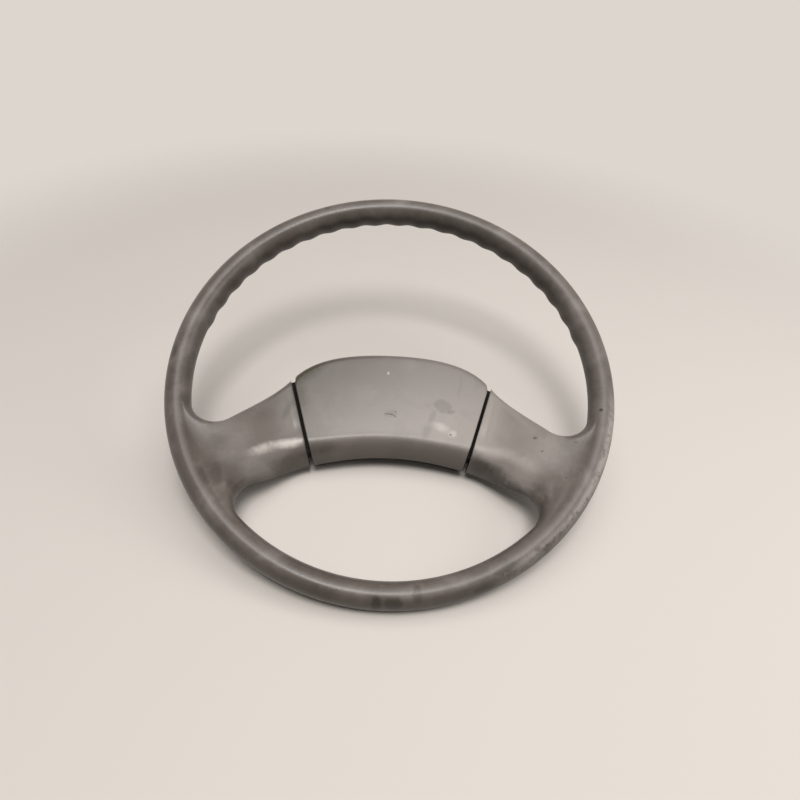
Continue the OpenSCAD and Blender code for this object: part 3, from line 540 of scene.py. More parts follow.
def grip_skin():
    """Points and faces of the rim with both spokes, one closed skin."""
    points = [ring_point(a, 360 * j / RING_SIDES) for a in STATIONS for j in range(RING_SIDES)]
    count = len(STATIONS)

    def ring_index(i, j):
        return (i % count) * RING_SIDES + j % RING_SIDES

    def in_root(i, j):
        left = LEFT_ROOT <= i < LEFT_ROOT + ROOT_STEPS
        right = RIGHT_ROOT - ROOT_STEPS <= i < RIGHT_ROOT
        return ROW_FACE <= j < ROW_BACK and (left or right)

    faces = [(ring_index(i, j), ring_index(i + 1, j), ring_index(i + 1, j + 1), ring_index(i, j + 1))
             for i in range(count) for j in range(RING_SIDES) if not in_root(i, j)]
    loops = spoke_loops()
    for side in (1, -1):
        place = [loop_place(k) for k in range(LOOP_N)]
        root = [ring_index(RIGHT_ROOT - c if side > 0 else LEFT_ROOT + c, ROW_FACE + r) for c, r in place]
        rows = [root]
        for loop in loops:
            rows.append(list(range(len(points), len(points) + LOOP_N)))
            points += [np.array([side * p[0], p[1], p[2]]) for p in loop]
        for low, high in zip(rows, rows[1:]):
            for k in range(LOOP_N):
                m = (k + 1) % LOOP_N
                face = (low[k], low[m], high[m], high[k])
                faces.append(face if side > 0 else face[::-1])
        faces.append(tuple(rows[-1]) if side > 0 else tuple(rows[-1][::-1]))
    return points, faces


# Mesh density of the pad's skin, and its edges beside the slots
PAD_STATIONS = 100
CORNER_STEPS = 8
CORNER_REACH = CORNER_R / (3 * PAD_TOP_TURN)
END_ROUND = 1.0
END_STEPS = 5
EDGE_ROWS = 12
FACE_ROWS = 16
FLANK_ROWS = 28


def corner(p, along, inward, inset, back):
    """Corner of the pad beside the slot, moved inward by inset and away from the slot by back."""
    return p + inward * inset + along * (SLOT_W + back - inset * (SLOT_NORM @ inward)) / (SLOT_NORM @ along)


def pad_top_line(inset, back):
    c = corner(SLOT_TOP, way(EDGE_IN - 90), way(EDGE_IN), inset, back)
    return [np.array([0, PAD_TOP_Y - inset]), np.array([PAD_TOP_FLAT, PAD_TOP_Y - inset]),
            c + PAD_TOP_TURN * way(EDGE_IN - 90), c]


def pad_low_line(inset, back):
    c = corner(SLOT_LOW, way(180 - LOW_SLOPE), way(90 - LOW_SLOPE), inset, back)
    return [np.array([0, -PAD_LOW_Y + inset]), np.array([PAD_LOW_FLAT, -PAD_LOW_Y + inset]),
            c + PAD_LOW_TURN * way(180 - LOW_SLOPE), c]


def both_sides(line, u):
    p = bezier(line, abs(u))
    return np.array([math.copysign(1, u) * p[0], p[1]])


def corner_drop(u, r):
    """How far the upper corner's rounding sets the pad's edge back at u."""
    d = 3 * PAD_TOP_TURN * (1 - abs(u))
    return r - math.sqrt(r * r - (r - d) ** 2) if d < r else 0.0


def pad_section(u, inset, back, fall):
    """The pad's section from its upper edge over the face to its lower lip, at u from -1 to 1."""
    edge = both_sides(pad_top_line(inset, back), u)
    b = both_sides(pad_low_line(inset, back), u)
    down = unit(b - edge)
    a = edge + down * corner_drop(u, max(CORNER_R - inset, 0))
    length = np.linalg.norm(b - a)
    top = FACE_Z - CROWN_DROP * u * u - fall
    crown = FACE_CROWN * (1 - u * u)
    middle = (SLOT_Z + SLOT_BASE) / 2
    flank = mix(PAD_FLANK, FLANK_W, u * u)
    run = length - EDGE_ROUND - flank
    section = [flat3(a, mix(LIP_Z, middle, i / 2)) for i in range(2)]
    for i in range(EDGE_ROWS + 1):
        c, h = way(90 * i / EDGE_ROWS)
        section.append(flat3(a + down * EDGE_ROUND * (1 - c), mix(middle, top, h)))
    for i in range(1, FACE_ROWS):
        t = i / FACE_ROWS
        section.append(flat3(a + down * (EDGE_ROUND + run * t), top - crown * t * t))
    for i in range(FLANK_ROWS, -1, -1):
        t = way(90 * i / FLANK_ROWS)[1]
        section.append(flat3(b - down * flank * t, LIP_Z + (top - crown - LIP_Z) * quarter(t, FLANK_BEND)))
    return section


def pad_skin():
    """Points and faces of the pad's shell: outer skin with rounded ends, inner skin, lip."""
    corners = [1 - CORNER_REACH * (1 - way(90 * i / CORNER_STEPS)[0]) for i in range(CORNER_STEPS)]
    spots = [(1 - CORNER_REACH) * (2 * i / PAD_STATIONS - 1) for i in range(PAD_STATIONS + 1)]
    spots = [-u for u in corners] + spots + corners[::-1]
    outer = [pad_section(u, 0, END_ROUND, 0) for u in spots]
    for i in range(1, END_STEPS + 1):
        c, h = way(90 * i / END_STEPS)
        inset, back = END_ROUND * (1 - c), END_ROUND * (1 - h)
        outer.append(pad_section(1.0, inset, back, inset))
        outer.insert(0, pad_section(-1.0, inset, back, inset))
    m, n = len(outer[0]), len(outer)
    for row in outer:
        row[0][2] = row[-1][2] = LIP_Z
    inner = [pad_section(2 * i / (n - 1) - 1, PAD_WALL, PAD_WALL, PAD_WALL) for i in range(n)]
    for row in inner:
        row[0][2] = row[-1][2] = LIP_Z
    points = [p for row in outer + inner for p in row]
    faces = []
    for i in range(n - 1):
        for k in range(m - 1):
            at = i * m + k
            faces.append((at, at + m, at + m + 1, at + 1))
            deep = n * m + at
            faces.append((deep, deep + 1, deep + m + 1, deep + m))
        for k in (0, m - 1):
            strip = (i * m + k, n * m + i * m + k, n * m + (i + 1) * m + k, (i + 1) * m + k)
            faces.append(strip if k == 0 else strip[::-1])
    last = n * m
    faces.append(tuple(range(m)))
    faces.append(tuple(range(last - 1, last - m - 1, -1)))
    faces.append(tuple(range(last + m - 1, last - 1, -1)))
    faces.append(tuple(range(2 * last - m, 2 * last)))
    faces.append((0, m - 1, last + m - 1, last))
    faces.append((last - m, 2 * last - m, 2 * last - 1, last - 1))
    return points, faces


# What the pad's shell holds inside: screw bosses and ribs, as in the source
PIN_X = 46
PIN_Y = 26
PLATE_TOP = 40.5
BOSS_X = PIN_X + 15
BOSS_Y = PIN_Y - 6
BOSS_D = 9
BOSS_HOLE = 3.5
BOSS_HOLE_DEEP = 3
INSIDE_TOP = 44.4
RIB_T = 2
RIB_CLEAR = 0.5
PAD_MID_Y = (PAD_TOP_Y - PAD_LOW_Y) / 2


def joined(forms):
    """Several closed forms as one list of points and faces."""
    points, faces = [], []
    for more, sides in forms:
        faces += [tuple(len(points) + i for i in side) for side in sides]
        points += more
    return points, faces


def box(low, high):
    points = [np.array([(low, high)[i & 1][0], (low, high)[i >> 1 & 1][1], (low, high)[i >> 2][2]])
              for i in range(8)]
    return points, [(0, 2, 3, 1), (4, 5, 7, 6), (0, 1, 5, 4), (2, 6, 7, 3), (0, 4, 6, 2), (1, 3, 7, 5)]


def drum(place, diameter, low, high, sides=40):
    circle = [place + diameter / 2 * way(360 * i / sides) for i in range(sides)]
    ring = [np.append(p, z) for z in (low, high) for p in circle]
    faces = [(i, (i + 1) % sides, sides + (i + 1) % sides, sides + i) for i in range(sides)]
    return ring, faces + [tuple(range(sides - 1, -1, -1)), tuple(range(sides, 2 * sides))]


def pad_cuts():
    """Room for the ledges, then the bosses and ribs, then the bosses' holes."""
    places = [np.array([x * BOSS_X, PAD_MID_Y + y * BOSS_Y]) for x in (1, -1) for y in (1, -1)]
    low_rib = PLATE_TOP + RIB_CLEAR
    ribs = [box((-BOSS_X, PAD_MID_Y + y * BOSS_Y - RIB_T / 2, low_rib),
                (BOSS_X, PAD_MID_Y + y * BOSS_Y + RIB_T / 2, INSIDE_TOP)) for y in (1, -1)]
    ribs += [box((x * BOSS_X - RIB_T / 2, PAD_MID_Y - BOSS_Y, low_rib),
                 (x * BOSS_X + RIB_T / 2, PAD_MID_Y + BOSS_Y, INSIDE_TOP)) for x in (1, -1)]
    end = SLOT_LEN - LEDGE_SHORT + RUN_ROOM
    high = LEDGE_Z + HORN_TRAVEL + RUN_ROOM
    space = prism([(end, LIP_Z - 1), (end, high), (-EDGE_ROUND, high), (-EDGE_ROUND, LIP_Z - 1)],
                  0, LEDGE_L + RUN_ROOM)
    return [("DIFFERENCE", both_ways(*space), True),
            ("UNION", joined([drum(p, BOSS_D, PLATE_TOP, INSIDE_TOP) for p in places] + ribs), True),
            ("DIFFERENCE", joined([drum(p, BOSS_HOLE, PLATE_TOP - 1, PLATE_TOP + BOSS_HOLE_DEEP)
                                   for p in places]), False)]


# Small raised pictogram of a horn on the pad's face: half of its outline, the rest is its mirror image
SIGN_PLACE = (0.4, -25.3)
SIGN_RAISE = 0.8
SIGN_SINK = 0.6
SIGN_BEVEL = 0.3
SIGN_INSET = 0.2
SIGN_BACK = -5.9
SIGN_HALF = [(SIGN_BACK, 0.9), (-5.0, 0.9), (-4.6, 0.45), (-1.5, 0.6), (1.0, 1.0), (2.6, 1.7), (3.8, 2.8),
             (4.4, 3.5), (5.2, 3.5), (5.2, 0)]


def face_height(y):
    """Height of the pad's face on its middle line."""
    run = PAD_TOP_Y + PAD_LOW_Y - EDGE_ROUND - PAD_FLANK
    return FACE_Z - FACE_CROWN * ((PAD_TOP_Y - EDGE_ROUND - y) / run) ** 2


def sign():
    outline = [(SIGN_BACK, 0)] + SIGN_HALF + [(x, -y) for x, y in SIGN_HALF[-2::-1]]
    n = len(outline)
    points = []
    for lift, shrink in ((-SIGN_SINK, 0.0), (SIGN_RAISE - SIGN_BEVEL, 0.0), (SIGN_RAISE, SIGN_INSET)):
        for x, y in outline:
            p = np.array([SIGN_PLACE[0] + x * (1 - shrink / 4), SIGN_PLACE[1] + y * (1 - shrink)])
            points.append(flat3(p, face_height(p[1]) + lift))
    faces = [(r * n + (i + 1) % n, r * n + i, (r + 1) * n + i, (r + 1) * n + (i + 1) % n)
             for r in range(2) for i in range(n)]
    return points, faces + [tuple(range(n)), tuple(range(3 * n - 1, 2 * n - 1, -1))]


# Node materials

def srgb(r, g, b):
    """Linear colour of a screen colour given in 0 to 255."""
    return tuple(((c / 255 + 0.055) / 1.055) ** 2.4 if c > 10 else c / 255 / 12.92 for c in (r, g, b)) + (1,)


class Nodes:
    """Short calls for a material's nodes."""

    def __init__(self, name):
        self.material = bpy.data.materials.new(name)
        self.material.use_nodes = True
        self.tree = self.material.node_tree
        self.tree.nodes.clear()
        self.out = self.tree.nodes.new("ShaderNodeOutputMaterial")

    def add(self, kind, inputs=None, **settings):
        node = self.tree.nodes.new("ShaderNode" + kind)
        for key, value in settings.items():
            setattr(node, key, value)
        for key, value in (inputs or {}).items():
            self.put(node.inputs[key], value)
        return node

    def put(self, socket, value):
        if isinstance(value, bpy.types.NodeSocket):
            self.tree.links.new(value, socket)
        else:
            socket.default_value = value

    def math(self, operation, a, b=0.0, c=0.0, clamp=False):
        node = self.add("Math", {0: a, 1: b, 2: c}, operation=operation, use_clamp=clamp)
        return node.outputs[0]

    def times(self, a, b):
        return self.math("MULTIPLY", a, b)

    def mix(self, factor, a, b, blend="MIX"):
        node = self.add("MixRGB", {"Fac": factor, "Color1": a, "Color2": b}, blend_type=blend)
        return node.outputs[0]

    def stain(self, colour, mask, share, tint):
        """A colour with a share of a tint where the mask is."""
        return self.mix(self.times(mask, share), colour, tint)

    def place(self):
        return self.add("TexCoord").outputs["Object"]

    def split(self, vector):
        return self.add("SeparateXYZ", {0: vector}).outputs[:]

    def noise(self, place, scale, detail=3.0, rough=0.5, distort=0.0):
        node = self.add("TexNoise", {"Vector": place, "Scale": scale, "Detail": detail,
                                     "Roughness": rough, "Distortion": distort})
        return node.outputs["Fac"]

    def step(self, value, low, high):
        """0 below low and 1 above high, with a soft change between; low may be the larger."""
        node = self.add("MapRange", {"Value": value, "From Min": low, "From Max": high},
                        interpolation_type="SMOOTHSTEP")
        return node.outputs["Result"]

    def spot(self, place, centre, half, turn, soft):
        """Mask of an oval mark: centre and half sizes in millimetres, turned about the column's axis by
        some degrees, with a softer or harder edge broken by noise."""
        shift = self.add("VectorMath", {0: place, 1: tuple(MM * c for c in centre)},
                         operation="SUBTRACT").outputs[0]
        if turn:
            shift = self.add("VectorRotate", {"Vector": shift, "Angle": math.radians(-turn)},
                             rotation_type="Z_AXIS").outputs[0]
        scaled = self.add("VectorMath", {0: shift, 1: tuple(1 / (MM * r) for r in half)},
                          operation="MULTIPLY").outputs[0]
        far = self.add("VectorMath", {0: scaled}, operation="LENGTH").outputs["Value"]
        wave = self.math("MULTIPLY_ADD", self.noise(place, 190, 4), 0.7, -0.35)
        return self.step(self.math("ADD", far, wave), 0.85 + soft, 0.85 - soft)

    def shader(self, **values):
        node = self.add("BsdfPrincipled")
        for key, value in values.items():
            self.put(node.inputs[key.replace("_", " ").title().replace("Ior", "IOR")], value)
        self.tree.links.new(node.outputs[0], self.out.inputs["Surface"])
        return node

    def bump(self, height, strength, distance):
        return self.add("Bump", {"Height": height, "Strength": strength, "Distance": distance}).outputs[0]


RIM_COLOUR = srgb(88, 79, 73)
SPOKE_COLOUR = srgb(125, 116, 109)
PAD_COLOUR = srgb(125, 116, 109)
DARK_DIRT_AND_SHADE = srgb(38, 31, 26)
SLOT_SHADE_COLOUR = srgb(24, 21, 19)
GREEN_DIRT = srgb(56, 50, 34)
PALE_DUST = srgb(180, 172, 166)
PALE_WEAR_AND_HIGHLIGHT = srgb(214, 205, 198)
GRIP_ROUGH = 0.26
PAD_ROUGH = 0.28
SKIN_SHINE = 0.5
SLOT_SHINE = 0.05

# Noise of the moulded skins: scale, detail, roughness and distortion
BROAD = (9, 3)
CLOUDY = (30, 4, 0.55, 0.4)
FINE = (420, 3, 0.6)
MOTTLED = (38, 5, 0.65)
BLOTCHY = (22, 5, 0.6, 0.6)
SCRATCHY = (75, 6, 0.75)
GRAIN_SCALE = 900.0
GRAIN_STRENGTH = 0.16
GRAIN_DEPTH = 0.0004

# Where the rim's darker skin ends and the spokes' begins, where the dusty half does, in millimetres
RIM_TO = 206
SPOKE_FROM = 178
LEFT_TO = -20
RIGHT_FROM = 120
DULLER = 0.1

# Radii over which the painted shade on steep sides fades out across the rim, and where its outer right edge
# is rubbed pale
SIDE_SHADE_FULL = 208
SIDE_SHADE_END = 216
RUB_IN = RIM_R + 1
RUB_OUT = RIM_R + 7
RUB_X = (85, 125)
RUB_Y = (10, -60)

# How much of each kind of dirt and of painted shade there is
RIM_DUST = 0.08
SPOKE_DUST = 0.26
MOTTLE_SHARE = 0.26
SIDE_SHADE_SHARE = 0.3
RUB_SHARE = 0.8
CLOUD_SHARE = 0.18
BLOTCH_SHARE = 0.14
FINE_SHARE = 0.06
DOWN_SHADE_BASE = 0.12
DOWN_SHADE_DUSTY = 0.3
DOWN_SHADE_CLOUDY = 0.2

# Painted light and sheen: darker at the top and left, lighter towards the lower ridge and to the right, in
# millimetres and shares
TOP_SHADE = 50
LOW_SHADE = -50
LEFT_SHADE = -130
RIGHT_SHADE = 50
SHADE = 0.42
LOW_GAIN = 0.32
RIGHT_GAIN = 0.24


def slot_mask(n, x, y, z):
    """Mask of the slot beside the pad, below the edges' rounding, where painted shade darkens the slot's
    walls.
    """
    beside = n.math("SUBTRACT", n.math("ABSOLUTE", x), SLOT_TOP[0] * MM)
    into = n.math("ADD", n.times(beside, SLOT_NORM[0]),
                  n.times(n.math("SUBTRACT", y, SLOT_TOP[1] * MM), SLOT_NORM[1]))
    near = n.times(n.step(into, -0.8 * MM, 0.0), n.step(into, (SLOT_W + 1.0) * MM, SLOT_W * MM))
    return n.times(near, n.step(z, (SLOT_Z - 0.4) * MM, (SLOT_Z - 2.4) * MM))


def moulded(name, rim, middle, marks, gloss):
    """Foamed plastic skin with a fine grain: darker on the rim, dustier on its right half, with painted
    shade where it faces down, on steep sides and in the slots, painted light and sheen over the spokes
    and pad, and marked as the photograph shows, some marks being painted highlight and shade."""
    n = Nodes(name)
    place = n.place()
    x, y, z = n.split(place)
    _, facing_up, facing_front = n.split(n.add("TexCoord").outputs["Normal"])
    broad, cloudy = n.noise(place, *BROAD), n.noise(place, *CLOUDY)
    radius = n.math("SQRT", n.math("ADD", n.times(x, x), n.times(y, y)))
    inside = n.step(n.math("MULTIPLY_ADD", broad, 0.03, radius), RIM_TO * MM, SPOKE_FROM * MM)
    dusty = n.step(n.math("MULTIPLY_ADD", broad, 0.1, x), LEFT_TO * MM, RIGHT_FROM * MM)
    colour = n.mix(inside, rim, middle)
    dust = n.math("MULTIPLY_ADD", inside, SPOKE_DUST, RIM_DUST)
    colour = n.mix(n.times(dusty, dust), colour, PALE_DUST)
    mottled = n.times(n.math("SUBTRACT", 1.0, inside), n.step(n.noise(place, *MOTTLED), 0.48, 0.62))
    colour = n.stain(colour, mottled, MOTTLE_SHARE, DARK_DIRT_AND_SHADE)
    # Painted shade on steep sides: darker where the skin faces sideways, on the spokes and the rim's inner
    # side
    painted_side_shade = n.times(n.step(facing_front, 0.75, 0.3), n.step(radius, SIDE_SHADE_END * MM, SIDE_SHADE_FULL * MM))
    colour = n.stain(colour, painted_side_shade, SIDE_SHADE_SHARE, DARK_DIRT_AND_SHADE)
    rubbed = n.times(n.step(radius, RUB_IN * MM, RUB_OUT * MM),
                     n.times(n.step(x, *(MM * c for c in RUB_X)), n.step(y, *(MM * c for c in RUB_Y))))
    rubbed = n.times(n.times(rubbed, n.step(n.noise(place, *SCRATCHY), 0.36, 0.56)),
                     n.step(facing_front, 0.1, 0.6))
    colour = n.stain(colour, rubbed, RUB_SHARE, PALE_DUST)
    colour = n.stain(colour, n.step(cloudy, 0.45, 0.75), CLOUD_SHARE, PALE_DUST)
    colour = n.stain(colour, n.step(n.noise(place, *BLOTCHY), 0.5, 0.7), BLOTCH_SHARE, DARK_DIRT_AND_SHADE)
    colour = n.stain(colour, n.step(n.noise(place, *FINE), 0.55, 0.8), FINE_SHARE, DARK_DIRT_AND_SHADE)
    # Painted light and sheen on the spokes and pad: darker at the top and left, lighter towards the lower
    # ridge and to the right
    low = n.step(y, TOP_SHADE * MM, LOW_SHADE * MM)
    across = n.math("MULTIPLY_ADD", n.step(x, LEFT_SHADE * MM, RIGHT_SHADE * MM), RIGHT_GAIN, SHADE)
    shade = n.math("MULTIPLY_ADD", low, LOW_GAIN, across)
    colour = n.mix(inside, colour, n.mix(1.0, colour, shade, "MULTIPLY"))
    # Painted shade: darker where the skin faces down, more on the dusty right half and under the cloudy
    # noise
    facing_down = n.step(n.times(facing_up, -1.0), 0.22, 0.62)
    down_shade = n.math("MULTIPLY_ADD", cloudy, DOWN_SHADE_CLOUDY,
                   n.math("MULTIPLY_ADD", dusty, DOWN_SHADE_DUSTY, DOWN_SHADE_BASE))
    colour = n.mix(n.times(facing_down, down_shade), colour, DARK_DIRT_AND_SHADE)
    for centre, half, turn, tint, share, soft in marks:
        colour = n.stain(colour, n.spot(place, centre, half, turn, soft), share, tint)
    # Painted shade: the slot's walls go nearly black, with a weaker specular
    slot_shade = slot_mask(n, x, y, z)
    colour = n.mix(slot_shade, colour, SLOT_SHADE_COLOUR)
    grain = n.add("TexVoronoi", {"Vector": place, "Scale": GRAIN_SCALE, "Randomness": 1.0},
                  feature="SMOOTH_F1").outputs["Distance"]
    rough = n.math("MULTIPLY_ADD", dusty, DULLER, n.math("MULTIPLY_ADD", cloudy, 0.14, gloss))
    n.shader(base_color=colour, roughness=rough, normal=n.bump(grain, GRAIN_STRENGTH, GRAIN_DEPTH),
             specular_ior_level=n.math("MULTIPLY_ADD", slot_shade, SLOT_SHINE - SKIN_SHINE, SKIN_SHINE))
    return n.material


def metal(name, base, rough, grain, brushed=(1, 1, 1)):
    """Metal whose gloss and colour vary a little along its grain."""
    n = Nodes(name)
    stretch = n.add("VectorMath", {0: n.place(), 1: brushed}, operation="MULTIPLY").outputs[0]
    streak = n.noise(stretch, grain, 4)
    cloud = n.noise(n.place(), 60, 3)
    colour = n.mix(n.step(cloud, 0.3, 0.8), base, tuple(c * 0.72 for c in base[:3]) + (1,))
    n.shader(base_color=colour, metallic=1.0, roughness=n.math("MULTIPLY_ADD", streak, 0.25, rough),
             normal=n.bump(streak, 0.12, 0.0003))
    return n.material


def plain_plastic(name, base, rough, grain=700.0):
    n = Nodes(name)
    place = n.place()
    dust = n.step(n.noise(place, 50, 4), 0.5, 0.85)
    colour = n.mix(n.math("MULTIPLY", dust, 0.25), base, PALE_DUST)
    relief = n.bump(n.noise(place, grain, 2), 0.12, 0.0003)
    n.shader(base_color=colour, roughness=n.math("MULTIPLY_ADD", dust, 0.2, rough), normal=relief)
    return n.material


# Marks, some of them painted highlight and shade: centre and half sizes in millimetres, turn in degrees,
# colour, share, softness
GRIP_MARKS = [
    # Painted highlight along the crest of the left spoke's lower flank
    ((-130, -76.5, 50), (19, 5.2, 18), 34, PALE_WEAR_AND_HIGHLIGHT, 0.7, 0.6),
    ((-104, -64, 46), (17, 4.8, 16), 16, PALE_WEAR_AND_HIGHLIGHT, 0.75, 0.6),
    ((160, -78, 62), (26, 16, 30), -40, PALE_DUST, 0.4, 0.7),
    # Painted shade along the right spoke's lower flank
    ((94, -77, 38), (13, 8, 14), -28, DARK_DIRT_AND_SHADE, 0.6, 0.5),
    ((110, -88, 44), (15, 8, 18), -42, DARK_DIRT_AND_SHADE, 0.65, 0.5),
    ((124, -105, 52), (13, 8, 20), -58, DARK_DIRT_AND_SHADE, 0.6, 0.5),
    # Painted shade on the left spoke's lower flank
    ((-102, -82, 40), (26, 8, 16), 28, DARK_DIRT_AND_SHADE, 0.35, 0.5),
    ((-220, 13, 90), (8, 10, 16), 0, DARK_DIRT_AND_SHADE, 0.6, 0.4),
    ((-214, -30, 92), (6, 22, 16), 8, DARK_DIRT_AND_SHADE, 0.3, 0.6),
    ((-7, -220, 90), (5, 8, 14), 0, DARK_DIRT_AND_SHADE, 0.9, 0.3),
    ((8, -220, 90), (9, 6, 14), 0, DARK_DIRT_AND_SHADE, 0.7, 0.3),
    ((28, -212, 92), (5, 9, 14), 10, DARK_DIRT_AND_SHADE, 0.5, 0.3),
    ((88, -207, 90), (12, 5, 14), 22, DARK_DIRT_AND_SHADE, 0.6, 0.4),
    ((106, -187, 92), (15, 4, 14), 30, DARK_DIRT_AND_SHADE, 0.5, 0.35),
    ((-60, -210, 92), (30, 5, 14), -16, DARK_DIRT_AND_SHADE, 0.25, 0.6),
    ((206, -32, 92), (2.2, 2.2, 10), 0, DARK_DIRT_AND_SHADE, 1.0, 0.2),
    ((-107, -25, 48), (4, 14, 14), -18, DARK_DIRT_AND_SHADE, 0.35, 0.5),
    ((145, -55, 56), (3.2, 2, 24), -20, DARK_DIRT_AND_SHADE, 0.7, 0.25),
    ((180, -64, 70), (3, 2.2, 24), 0, DARK_DIRT_AND_SHADE, 0.6, 0.3),
    ((168, -100, 68), (1.6, 1.6, 24), 0, DARK_DIRT_AND_SHADE, 0.7, 0.2),
    ((150, -70, 60), (2.4, 1.2, 24), 30, DARK_DIRT_AND_SHADE, 0.5, 0.2),
    ((108, -66, 46), (22, 7, 16), -8, PALE_DUST, 0.5, 0.6),
    ((136, -82, 50), (20, 8, 22), -45, PALE_DUST, 0.5, 0.6),
    ((-160, -103, 60), (26, 15, 34), 30, DARK_DIRT_AND_SHADE, 0.28, 0.7),
    ((-148, -42, 60), (34, 10, 34), 20, DARK_DIRT_AND_SHADE, 0.16, 0.7),
    ((-189, -71, 80), (9, 16, 24), 20, DARK_DIRT_AND_SHADE, 0.25, 0.6),
]
PAD_MARKS = [
    ((0, -25, 46.5), (7.5, 4.5, 3), 0, DARK_DIRT_AND_SHADE, 0.22, 0.4),
    ((55, -15, 47), (11, 9, 6), -20, DARK_DIRT_AND_SHADE, 0.26, 0.2),
    ((64, -21, 47), (5, 2.6, 6), 25, DARK_DIRT_AND_SHADE, 0.26, 0.2),
    ((44, -26, 47), (3.5, 9, 6), -24, DARK_DIRT_AND_SHADE, 0.2, 0.35),
    ((38, -44, 45), (5, 9, 8), -16, DARK_DIRT_AND_SHADE, 0.22, 0.45),
    ((53, -38, 45), (9, 5, 8), -20, PALE_WEAR_AND_HIGHLIGHT, 0.36, 0.5),
    ((65, -45, 45), (5, 4, 8), 10, PALE_WEAR_AND_HIGHLIGHT, 0.36, 0.45),
    ((63, -46, 45), (1.5, 1.5, 6), 0, DARK_DIRT_AND_SHADE, 0.7, 0.2),
    ((-4, 21, 48), (1.4, 2.2, 5), 0, PALE_WEAR_AND_HIGHLIGHT, 0.45, 0.3),
    ((-92, 19, 44), (25, 10, 14), 36, GREEN_DIRT, 0.85, 0.6),
    ((-98, -3, 44), (8, 22, 14), 17, GREEN_DIRT, 0.6, 0.75),
    ((-66, 38, 44), (28, 7, 14), 20, GREEN_DIRT, 0.5, 0.7),
    # Painted shade on the pad's lower left flank beside the slot
    ((-69, -64, 38), (18, 7, 9), 10, DARK_DIRT_AND_SHADE, 0.4, 0.65),
]


# Edges sharper than these many degrees stay sharp
GRIP_SHARP = 50
PAD_SHARP = 35
METAL_SHARP = 32


def cad_materials():
    """A material for each kind of CAD node that stays."""
    steel = metal("zinc_plated", srgb(178, 178, 176), 0.28, 300)
    spring = metal("spring_wire", srgb(160, 161, 163), 0.3, 500)
    dark = plain_plastic("electrocoat", srgb(38, 38, 39), 0.42)
    kinds = {
        "rim_tube": metal("drawn_tube", srgb(150, 150, 150), 0.35, 400),
        "spoke_frame": dark,
        "hub_boss": metal("turned_steel", srgb(146, 147, 149), 0.25, 500, (1, 1, 6)),
        "ring_carrier": plain_plastic("insulator", srgb(30, 30, 31), 0.35),
        "contact_block": plain_plastic("contact_insulator", srgb(34, 33, 32), 0.4),
        "slip_ring": metal("slip_brass", srgb(196, 158, 92), 0.22, 600),
        "fixed_contact": metal("contact_brass", srgb(190, 152, 88), 0.26, 500),
        "rear_cover": plain_plastic("cover_plastic", srgb(46, 45, 44), 0.5),
        "horn_lead": plain_plastic("lead_sheath", srgb(120, 32, 26), 0.4, 300.0),
        "guide_bush": plain_plastic("nylon", srgb(206, 200, 184), 0.4),
        "horn_spring": spring,
        "pin_clip": spring,
    }
    kinds["moving_contact"] = kinds["fixed_contact"]
    for name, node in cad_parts.items():
        kind = name.rstrip("0123456789").rstrip("_")
        material = kinds.get(kind, steel)
        node.data.materials.clear()
        node.data.materials.append(material)


def smooth_nodes():
    """Turned and swept metal pieces shade smooth across their small facets."""
    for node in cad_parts.values():
        node.data.polygons.foreach_set("use_smooth", [True] * len(node.data.polygons))
        node.data.set_sharp_from_angle(angle=math.radians(METAL_SHARP))


def soft_springs():
    """Copies of the springs, baked where they stand, in place of the imported ones, which are hidden."""
    for name in sorted(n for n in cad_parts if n.startswith("horn_spring")):
        spring = bpy.data.objects.new("soft_" + name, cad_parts[name].data.copy())
        bpy.context.scene.collection.objects.link(spring)
        low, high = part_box(name)
        foot, top = (low + high) / 2, (low + high) / 2
        foot.z, top.z = low.z, high.z
        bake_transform(spring)
        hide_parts(name)


# Camera, fitted to the rim's outlines in the photograph: places in millimetres, right, down, ahead
FOCAL_PX = 620
FRAME_PX = 800
SENSOR_MM = 36
RING_PLACE = np.array([-7.7, -22.5, 628.8])
TILT = 23.93
SIDE = 2.44
SPIN = -2.7


def camera_axes():
    """The wheel's X, Y and Z as the camera sees them: right, down, ahead."""
    tilt, side = way(TILT), way(SIDE)
    z = np.array([side[1], -tilt[1] * side[0], -tilt[0] * side[0]])
    y = unit(np.array([0, -1.0, 0]) - np.array([0, -1.0, 0]) @ z * z)
    x = np.cross(y, z)
    spin = way(SPIN)
    return np.stack([spin[0] * x + spin[1] * y, -spin[1] * x + spin[0] * y, z], 1)


def make_camera():
    axes = camera_axes()
    place = -axes.T @ (RING_PLACE - RIM_Z * axes[:, 2])
    right, up, back = axes.T @ (1, 0, 0), axes.T @ (0, -1, 0), axes.T @ (0, 0, -1)
    camera = bpy.data.objects.new("camera", bpy.data.cameras.new("camera"))
    bpy.context.scene.collection.objects.link(camera)
    camera.data.sensor_width = SENSOR_MM
    camera.data.lens = SENSOR_MM * FOCAL_PX / FRAME_PX
    turn = Matrix((right, up, back)).transposed().to_4x4()
    camera.matrix_world = Matrix.Translation(Vector(place) * MM) @ turn
    bpy.context.scene.camera = camera


# The table that the wheel leans on: it touches the cover behind the hub and the rim's bottom
STEEPEST = 45.0
HALVINGS = 40


def lean():
    """Angle in degrees between the table and the wheel's plane, and the table's height along its normal."""
    hub = [v.co for n in ("rear_cover", "hub_boss", "ring_carrier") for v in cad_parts[n].data.vertices]
    rim = [v.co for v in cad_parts["grip"].data.vertices if v.co.y < 0]
    hub, rim = np.array(hub), np.array(rim)
    low, high = 0.0, STEEPEST
    for _ in range(HALVINGS):
        middle = (low + high) / 2
        up = np.array([0, *way(middle)[::-1]])
        if (rim @ up).min() > (hub @ up).min():
            low = middle
        else:
            high = middle
    return low, (hub @ up).min()


